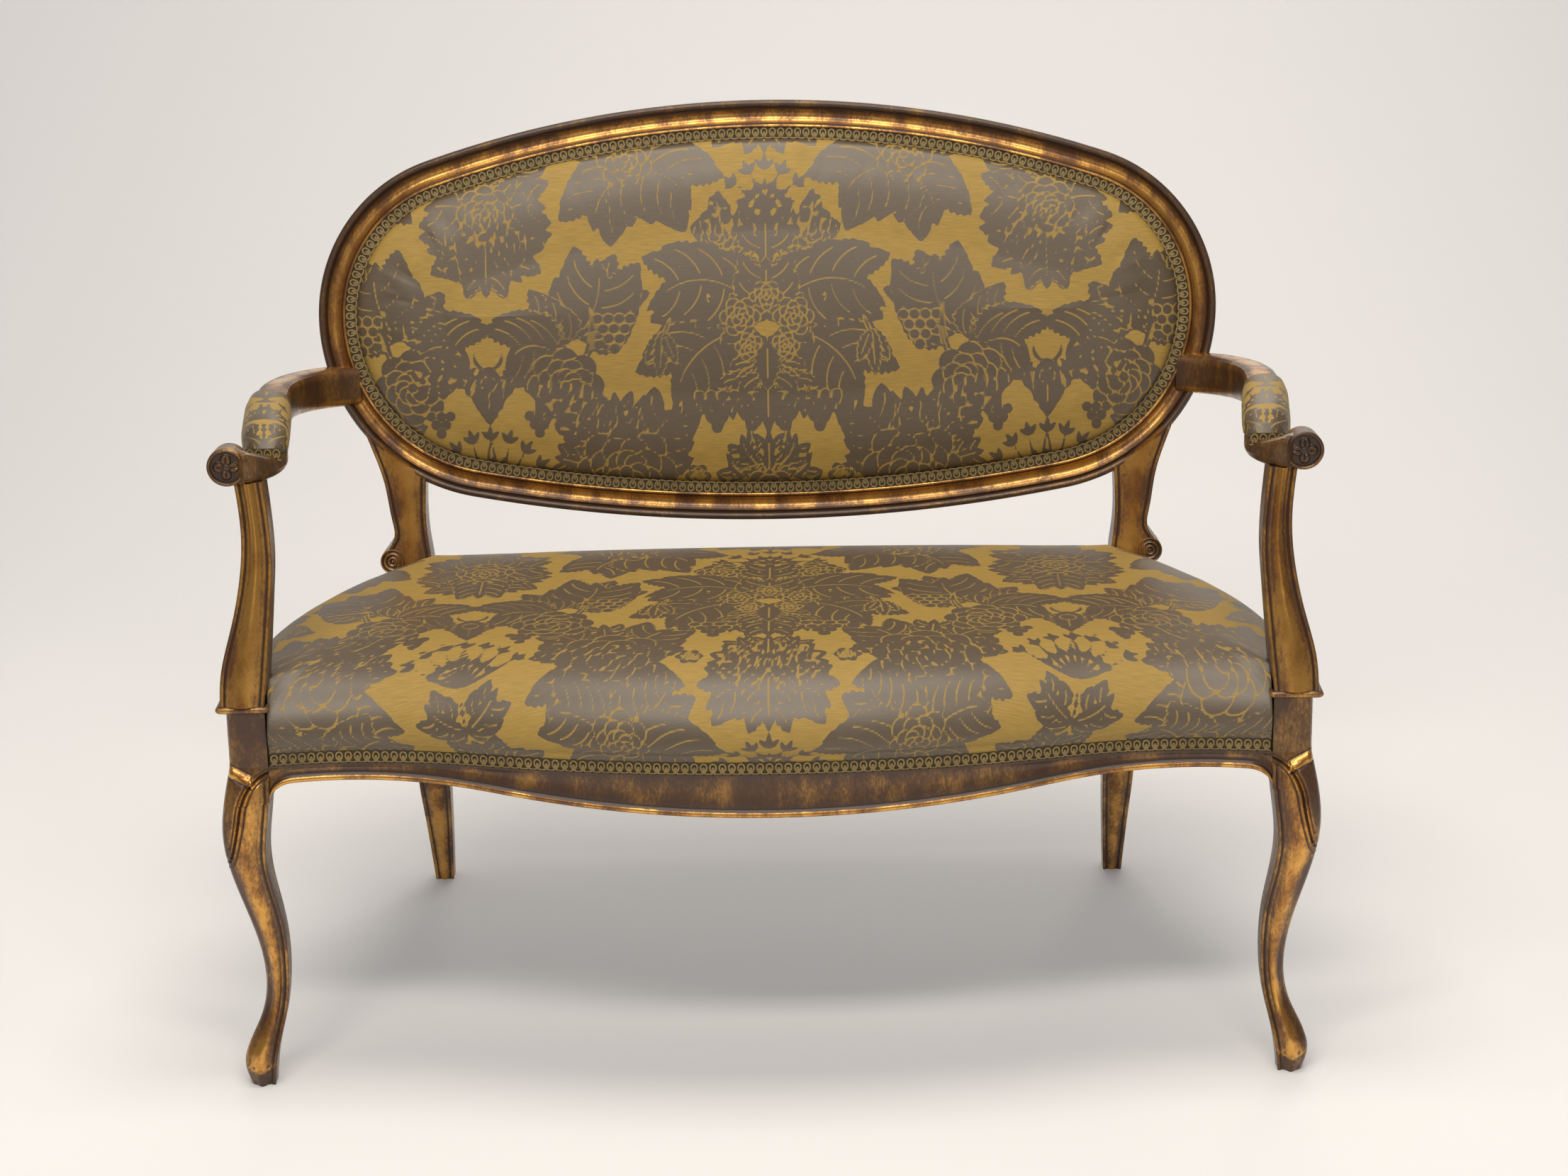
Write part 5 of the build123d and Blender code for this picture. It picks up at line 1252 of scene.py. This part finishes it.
# %% The back cover
points, flat = back_grid(1000, 44, 47)
coarse = points[::STRIDE, ::STRIDE]
held = np.arange(len(coarse))[:, None] < 2
moves = stuffed(coarse, *cushion(coarse), held, BACK_GIVE)
points = points + between(moves, *points.shape[:2])
part = cloth_part(points, flat, BACK_SHIFT)
back = make_piece("back_cover_damask", [part], damask, ["back_cover", "back_stuffing"], sharp=180)

# %% [markdown]
# ## Arm pads
# Each arm carries a small stuffed roll, drawn in at both ends. A row is half an oval over the arm's
# flat, and its width, rise and place across follow the arm.

# %% The two arm pads
PAD_FRONT, PAD_REAR, PAD_BASE = -204.0, 11.0, 696.0
PAD_SHIFT = (-215.0, -25.0)
PAD_ROWS = [(0, 0.30, 0.15, -11), (0.04, 0.72, 0.52, -10.5), (0.12, 0.93, 0.84, -8.5),
            (0.28, 1.0, 0.97, -4), (0.45, 1, 1, 0), (0.7, 0.99, 0.97, 6), (0.88, 0.93, 0.84, 9.5),
            (0.96, 0.70, 0.5, 11.5), (1, 0.28, 0.15, 12)]
PAD_X, PAD_HALF, PAD_RISE, PAD_ROUND = 541.0, 26.0, 30.0, 30.0
PAD_GIVE = 2.0


def arm_pad(rows, columns):
    """Rows of half ovals: powers of cosine and sine, by a table of widths, rises and shifts."""
    table = np.array(PAD_ROWS)
    share = 0.5 - 0.5 * np.cos(np.linspace(0, np.pi, rows))
    width, rise, shift = [np.interp(share, table[:, 0], table[:, k]) for k in (1, 2, 3)]
    turn = np.linspace(0, 2 * np.pi, columns, endpoint=False)
    across = np.sign(np.cos(turn)) * np.abs(np.cos(turn)) ** 0.75 * PAD_HALF
    above = np.where(np.sin(turn) > 0, np.abs(np.sin(turn)) ** 0.85 * PAD_RISE, 0)
    x = PAD_X + shift[:, None] + width[:, None] * across
    y = np.broadcast_to((PAD_FRONT + 4 + (PAD_REAR - PAD_FRONT - 6) * share)[:, None], x.shape)
    points = np.stack([x, y, PAD_BASE + rise[:, None] * above], -1)
    flat = np.stack([PAD_X + np.broadcast_to(PAD_ROUND * (turn - np.pi / 2), x.shape), y], -1)
    return points, flat


points, flat = arm_pad(89, 64)
coarse = points[::STRIDE, ::STRIDE]
held = coarse[..., 2] < PAD_BASE + 2
moves = stuffed(coarse, np.arange(held.size), bar(coarse)[1], held, PAD_GIVE)
points = points + between(moves, *points.shape[:2])
figure, line = damask_fields(flat.reshape(-1, 2) + PAD_SHIFT)
sides = bar(points)
part = (sides[0], sides[1], {"figure": figure, "line": line, "cloth": flat.reshape(-1, 2)})
for side, made in (("right", part), ("left", mirrored(part))):
    pad = make_piece(f"arm_pad_{side}_damask", [made], damask, [f"arm_pad_{side}"], sharp=180)

# %% [markdown]
# ## Gimp braid
# The raw edge of the cover is hidden by gimp, a narrow braid whose cord loops over and over on a flat
# ground. The cord's middle line is a looping curve: it goes forwards along the edge while it circles. A
# small ring of points is carried along it, and a thin tape lies beneath.

# %% The braid's material
THREAD_PALE, THREAD_DEEP = (0.30, 0.212, 0.082), (0.19, 0.13, 0.048)
TAPE_BROWN = (0.055, 0.040, 0.016)


def braid_thread():
    """Thread in two tones by noise, and brown tape where the value dark is 1."""
    material, wire, shade = new_material("braid_thread")
    place, dark = wire.node("TexCoord", out=3), wire.field("dark")
    twist, patch = place.noise(900, 2), place.noise(22, 2)
    thread = (twist * 0.6 + patch * 0.4).ramp(0.35, 0.65).blend(THREAD_PALE, THREAD_DEEP)
    shade(Base_Color=dark.blend(thread, TAPE_BROWN), Roughness=0.7 + (twist - 0.5) * 0.2)
    shade(Normal=twist.bump(0.3, 0.0005))
    return material


braid = braid_thread()
print("material", braid.name)

# %% Tape and cords along a path
BRAID_WIDE, BRAID_EDGE, TAPE_THICK, LOOP = 13.0, 5.9, 1.6, 9.8
CORDS = [(2.3, 11.6, 1.05), (1.2, 7.2, 0.85)]


def gimp(path, across, out):
    """Braid along a path: a tape, and cords at s + a sin(t) along it and b (1 - cos(t)) across it."""
    step = np.linalg.norm(np.diff(path, axis=0), axis=1)
    walked = np.concatenate([[0], np.cumsum(step)])
    loops = int(round(walked[-1] / LOOP))
    parts = []

    def at(distance):
        return [np.stack([np.interp(distance, walked, column[:, k]) for k in range(3)], -1)
                for column in (path, across, out)]

    centre, aside, off = at(walked)
    tape = np.array([(-0.5, 0.0), (-0.5, 0.5), (0.5, 0.5), (0.5, 0.0)]) * [BRAID_WIDE, TAPE_THICK]
    parts.append(bar(centre[:, None] + aside[:, None] * tape[:, :1] + off[:, None] * tape[:, 1:], 1.0))
    phase = np.linspace(0, 2 * np.pi * loops, loops * 12 + 1)
    for swing, tall, thick in CORDS:
        run = walked[-1] * phase / phase[-1] + swing * LOOP / 4 * np.sin(phase)
        centre, aside, off = at(np.clip(run, 0, walked[-1]))
        sideways = tall * (0.5 - 0.5 * np.cos(phase)) - BRAID_EDGE
        middle = centre + aside * sideways[:, None] + off * (1.2 + thick / 2)
        ahead = np.gradient(middle, axis=0)
        ahead /= np.maximum(np.linalg.norm(ahead, axis=1, keepdims=True), 1e-9)
        square = np.cross(ahead, off)
        turn = np.radians([30, 150, 270])[None, :, None] + 0 * middle[:, :1, None]
        ring = middle[:, None] + thick * (square[:, None] * np.cos(turn) + off[:, None] * np.sin(turn))
        parts.append(bar(ring, 0.0))
    return parts


print("cords:", len(CORDS), "with a loop every", LOOP, "mm")

# %% Braid round the back and the outside
def oval_braid(inset, lift, way):
    """Braid on the oval at an inset and a lift; way is 1 in front and -1 behind."""
    ring, away = [np.concatenate([a, a[:1]]) for a in oval_round(500)]
    flat = ring - away * inset
    path = on_back(flat[:, 0], flat[:, 1], np.full(len(flat), lift))
    across = away[:, :1] * [1.0, 0, 0] + away[:, 1:] * BACK_UP
    return gimp(path, across, np.broadcast_to(BACK_OUT * way, path.shape))


for name, inset, lift, way in (("back_gimp", 38.4, -4.2, 1), ("outside_back_gimp", 24.0, -31.4, -1)):
    make_piece(name + "_braid", oval_braid(inset, lift, way), braid, [name])

# %% Braid round the seat and at the arm pads
SEAT_GIMP_Z = 384.2


def upright_braid(x, y):
    """Braid that stands on edge along a line in plan: across is up, out is away from the seat."""
    path = np.stack([x, y, np.full(len(x), SEAT_GIMP_Z)], -1)
    ahead = np.gradient(path, axis=0)
    ahead /= np.linalg.norm(ahead, axis=1, keepdims=True)
    up = np.broadcast_to([0.0, 0, 1], path.shape)
    return gimp(path, up, np.cross(ahead, up))


x = np.linspace(-POST_INNER + 1, POST_INNER - 1, 220)
runs = upright_braid(x, front_line(x, COVER_INSET))
y = np.linspace(POST_REAR + 1, REAR_FRONT - 1, 90)
flank = upright_braid(SIDE_X + np.sqrt((SIDE - COVER_INSET) ** 2 - (y - SIDE_Y) ** 2), y)
x = np.linspace(REAR_INNER - 1, 1 - REAR_INNER, 60)
runs = runs + flank + [mirrored(p) for p in flank]
runs = runs + upright_braid(x, np.full(60, BACK_RAIL_Y - COVER_INSET))
make_piece("seat_gimp_braid", runs, braid, ["seat_gimp"])

low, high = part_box("arm_gimp_right")
x = np.linspace(low[0] / MM, high[0] / MM, 12)
path = np.stack([x, np.full(12, high[1] / MM - 0.6), np.full(12, (low[2] + high[2]) / 2 / MM)], -1)
parts = gimp(path, np.broadcast_to([0.0, 0, 1], path.shape), np.broadcast_to([0.0, -1, 0], path.shape))
make_pair("arm_gimp", "braid", parts, braid)

# %% [markdown]
# ## Outside back and dust cover
# The back of the oval is closed by a flat panel of the same damask. Below the seat a thin black cloth
# keeps the dust in and sags a little between its tacks. Both are sheets: one surface with a little
# thickness.

# %% The outside back
SHEET_COLUMNS, FACE_ROWS, HIDDEN_ROWS = 800, 80, 20
SHEET_FOLD = 290.0


def oval_sheet(inset, lift, thick):
    """Two flat layers: rows run out from the middle line to the edge, and in again in front."""
    ring, away = oval_round(SHEET_COLUMNS)
    edge = ring - away * inset
    middle = np.stack([SHEET_FOLD * to_and_fro(SHEET_COLUMNS), np.full(SHEET_COLUMNS, OVAL_MIDDLE)], -1)
    share = np.concatenate([np.linspace(0, 1, FACE_ROWS), np.linspace(1, 0, HIDDEN_ROWS)])[:, None, None]
    flat = middle + (edge - middle) * share
    lifts = np.concatenate([np.full(FACE_ROWS, lift - thick), np.full(HIDDEN_ROWS, lift)])
    return on_back(flat[..., 0], flat[..., 1], np.broadcast_to(lifts[:, None], flat.shape[:2])), flat


points, flat = oval_sheet(18.5, -30.0, 1.5)
part = cloth_part(points, flat, BACK_SHIFT, sewn_first=True)
outside = make_piece("outside_back_damask", [part], damask, ["outside_back"], sharp=60)

# %% The dust cover
def cotton(name, colour, scale):
    """A plain cloth: noise for the weave, at the scale of its threads."""
    material, wire, shade = new_material(name)
    weave = wire.node("TexCoord", out=3).noise(scale, 3, 0.7)
    pale, deep = [tuple(share * c for c in colour) for share in (1.3, 0.7)]
    shade(Base_Color=weave.ramp(0.3, 0.7).blend(deep, pale), Roughness=0.85 + (weave - 0.5) * 0.2)
    shade(Normal=weave.bump(0.4, 0.001))
    return material


DUST_ROWS, DUST_INSET, DUST_SAG, DUST_THICK = 30, 12.0, 4.0, 0.8
low, high = [np.array(corner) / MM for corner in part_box("dust_cover")]
out_and_in = [np.linspace(0, 1, DUST_ROWS), np.linspace(1, 0, DUST_ROWS)]
share = np.concatenate(out_and_in)[:, None, None]
edge = full_round(seat_outline(DUST_INSET, (70, 40, 60)))
flat = np.stack([300 * to_and_fro(len(edge)), np.full(len(edge), SEAT_MIDDLE_Y)], -1)
flat = flat + (edge - flat) * share
height = np.repeat([low[2], low[2] + DUST_THICK], DUST_ROWS)[:, None] - DUST_SAG * (1 - share[..., 0] ** 2)
points = tucked(np.concatenate([flat, np.broadcast_to(height, flat.shape[:2])[..., None]], -1))
dust_cloth = cotton("dust_cloth", (0.03, 0.03, 0.032), 700)
used, faces = cushion(points, sewn_first=True)
part = (points.reshape(-1, 3)[used], faces, {})
dust = make_piece("dust_cover_cloth", [part], dust_cloth, ["dust_cover"], sharp=60)

# %% [markdown]
# ## Inside the settee
# Webbing, springs, canvas, blocks and dowels are shaped in the frame already. They are hidden by the
# covers, but each still gets the finish of its own material.

# %% Finishes of the inner nodes
def plain_beech():
    """Unfinished wood: bands of grain drawn out along x, with fine pores."""
    material, wire, shade = new_material("plain_beech")
    along = wire.node("Mapping", sockets={"Vector": wire.node("TexCoord", out=3), "Scale": (0.15, 1, 1)})
    grain = along.noise(180, 5, distortion=0.6)
    shade(Base_Color=grain.ramp(0.35, 0.65).blend((0.56, 0.37, 0.20), (0.42, 0.25, 0.12)))
    shade(Roughness=0.55 + grain * 0.2, Normal=grain.bump(0.2, 0.0006))
    return material


def spring_wire():
    """Bare steel with a little oil and dust."""
    material, wire, shade = new_material("spring_wire")
    film = wire.node("TexCoord", out=3).noise(90, 4)
    shade(Base_Color=film.ramp(0.4, 0.7).blend((0.46, 0.45, 0.43), (0.20, 0.17, 0.14)))
    shade(Metallic=0.95 - film.ramp(0.5, 0.7) * 0.4, Roughness=0.3 + film * 0.25)
    return material


inner_finishes = {
    "bare_wood": plain_beech(),
    "jute_webbing": cotton("jute_webbing", (0.36, 0.24, 0.13), 500),
    "hessian": cotton("hessian_canvas", (0.40, 0.29, 0.17), 600),
    "steel": spring_wire(),
}
shown = {row["node"]: row["material_slot"] for row in frame["record"]["subparts"]}
for node, slot in shown.items():
    if slot in inner_finishes:
        piece = bpy.data.objects[node]
        piece.data.materials.clear()
        piece.data.materials.append(inner_finishes[slot])
print("inner finishes:", sorted(inner_finishes))

# %% [markdown]
# ## Floor and light
# The settee stands on a plain pale floor that curves up behind it. A broad lamp hangs above it, a
# narrow one stands high in front and draws the sheen of the satin, and weaker ones stand in front and
# behind, under an even sky.

# %% The floor
def seen_rays(wire):
    """1 for what the camera sees, straight or in a reflection, and 0 for light that falls on the object."""
    kinds = ("Is Camera Ray", "Is Glossy Ray", "Is Transmission Ray")
    return sum(wire.node("LightPath", out=kind) for kind in kinds).ramp(0, 1)


def pale_floor():
    """Pale grey with a little light of its own where it is seen; it shows only from its upper side."""
    material, wire, shade = new_material("pale_floor")
    shade(Base_Color=(0.86, 0.86, 0.87, 1), Roughness=0.8, Emission_Strength=1.0)
    shade(Emission_Color=seen_rays(wire).blend((0, 0, 0), (0.10, 0.10, 0.105)))
    nodes, links = material.node_tree.nodes, material.node_tree.links
    clear = wire.node("BsdfTransparent")
    below = wire.node("NewGeometry", out="Backfacing")
    shader = Wire(material.node_tree, nodes["Principled BSDF"].outputs[0])
    shown = wire.node("MixShader", sockets={0: below, 1: shader, 2: clear})
    links.new(shown.socket, nodes["Material Output"].inputs["Surface"])
    return material


FLOOR_FRONT, FLOOR_BACK, FLOOR_BEND, FLOOR_TOP, FLOOR_HALF = -6.0, 1.6, 1.4, 5.0, 7.0
turn = np.linspace(0, np.pi / 2, 12)
bend = np.stack([FLOOR_BACK + FLOOR_BEND * np.sin(turn), FLOOR_BEND - FLOOR_BEND * np.cos(turn)], -1)
line = np.concatenate([[(FLOOR_FRONT, 0)], bend, [(FLOOR_BACK + FLOOR_BEND, FLOOR_TOP)]])
grid = np.stack([np.insert(line, 0, side, axis=1) for side in (-FLOOR_HALF, FLOOR_HALF)], 1)
mesh = bpy.data.meshes.new("floor")
mesh.from_pydata(grid.reshape(-1, 3).tolist(), [], grid_faces(len(line), 2, around=False).tolist())
mesh.materials.append(pale_floor())
mesh.polygons.foreach_set("use_smooth", np.ones(len(mesh.polygons), bool))
floor = bpy.data.objects.new("floor", mesh)
bpy.context.scene.collection.objects.link(floor)
print("floor", len(mesh.polygons), "faces")

# %% Lamps and sky
LAMP_COLOUR = (1.0, 0.93, 0.82)
LAMPS = [("overhead_lamp", (0, -0.4, 3.2), (0, -0.1, 0.4), (2.2, 1.2), 46),
         ("high_lamp", (-0.2, -2.2, 2.75), (0, 0.0, 0.5), (2.4, 0.4), 50),
         ("front_lamp", (0.2, -4.2, 2.25), (0, 0, 0.7), (3.0, 0.5), 12),
         ("back_lamp", (0.4, 2.5, 2.5), (0, 0.2, 0.6), (2.4, 0.8), 22)]
for name, place, aim, size, power in LAMPS:
    lamp = bpy.data.lights.new(name, "AREA")
    lamp.shape = "RECTANGLE"
    lamp.size, lamp.size_y = size
    lamp.energy = power
    lamp.color = LAMP_COLOUR
    lamp_object = bpy.data.objects.new(name, lamp)
    back_way = np.subtract(place, aim) / np.linalg.norm(np.subtract(place, aim))
    right_way = np.cross([0.0, 1.0, 0.2], back_way)
    right_way /= np.linalg.norm(right_way)
    turn = np.eye(4)
    turn[:3] = np.stack([right_way, np.cross(back_way, right_way), back_way, place], -1)
    lamp_object.matrix_world = Matrix(turn.tolist())
    lamp_object.visible_camera = False
    bpy.context.scene.collection.objects.link(lamp_object)

SKY_LIGHT, SKY_SEEN = 0.20, 0.72
world = bpy.data.worlds.new("sky")
world.use_nodes = True
sky = world.node_tree.nodes["Background"]
sky.inputs["Color"].default_value = (1.0, 0.98, 0.96, 1)
shining = SKY_LIGHT + (SKY_SEEN - SKY_LIGHT) * Wire(world.node_tree).node("LightPath", out="Is Camera Ray")
world.node_tree.links.new(shining.socket, sky.inputs["Strength"])
bpy.context.scene.world = world
bpy.context.scene.view_settings.view_transform = "Standard"
print("lamps:", [row[0] for row in LAMPS])
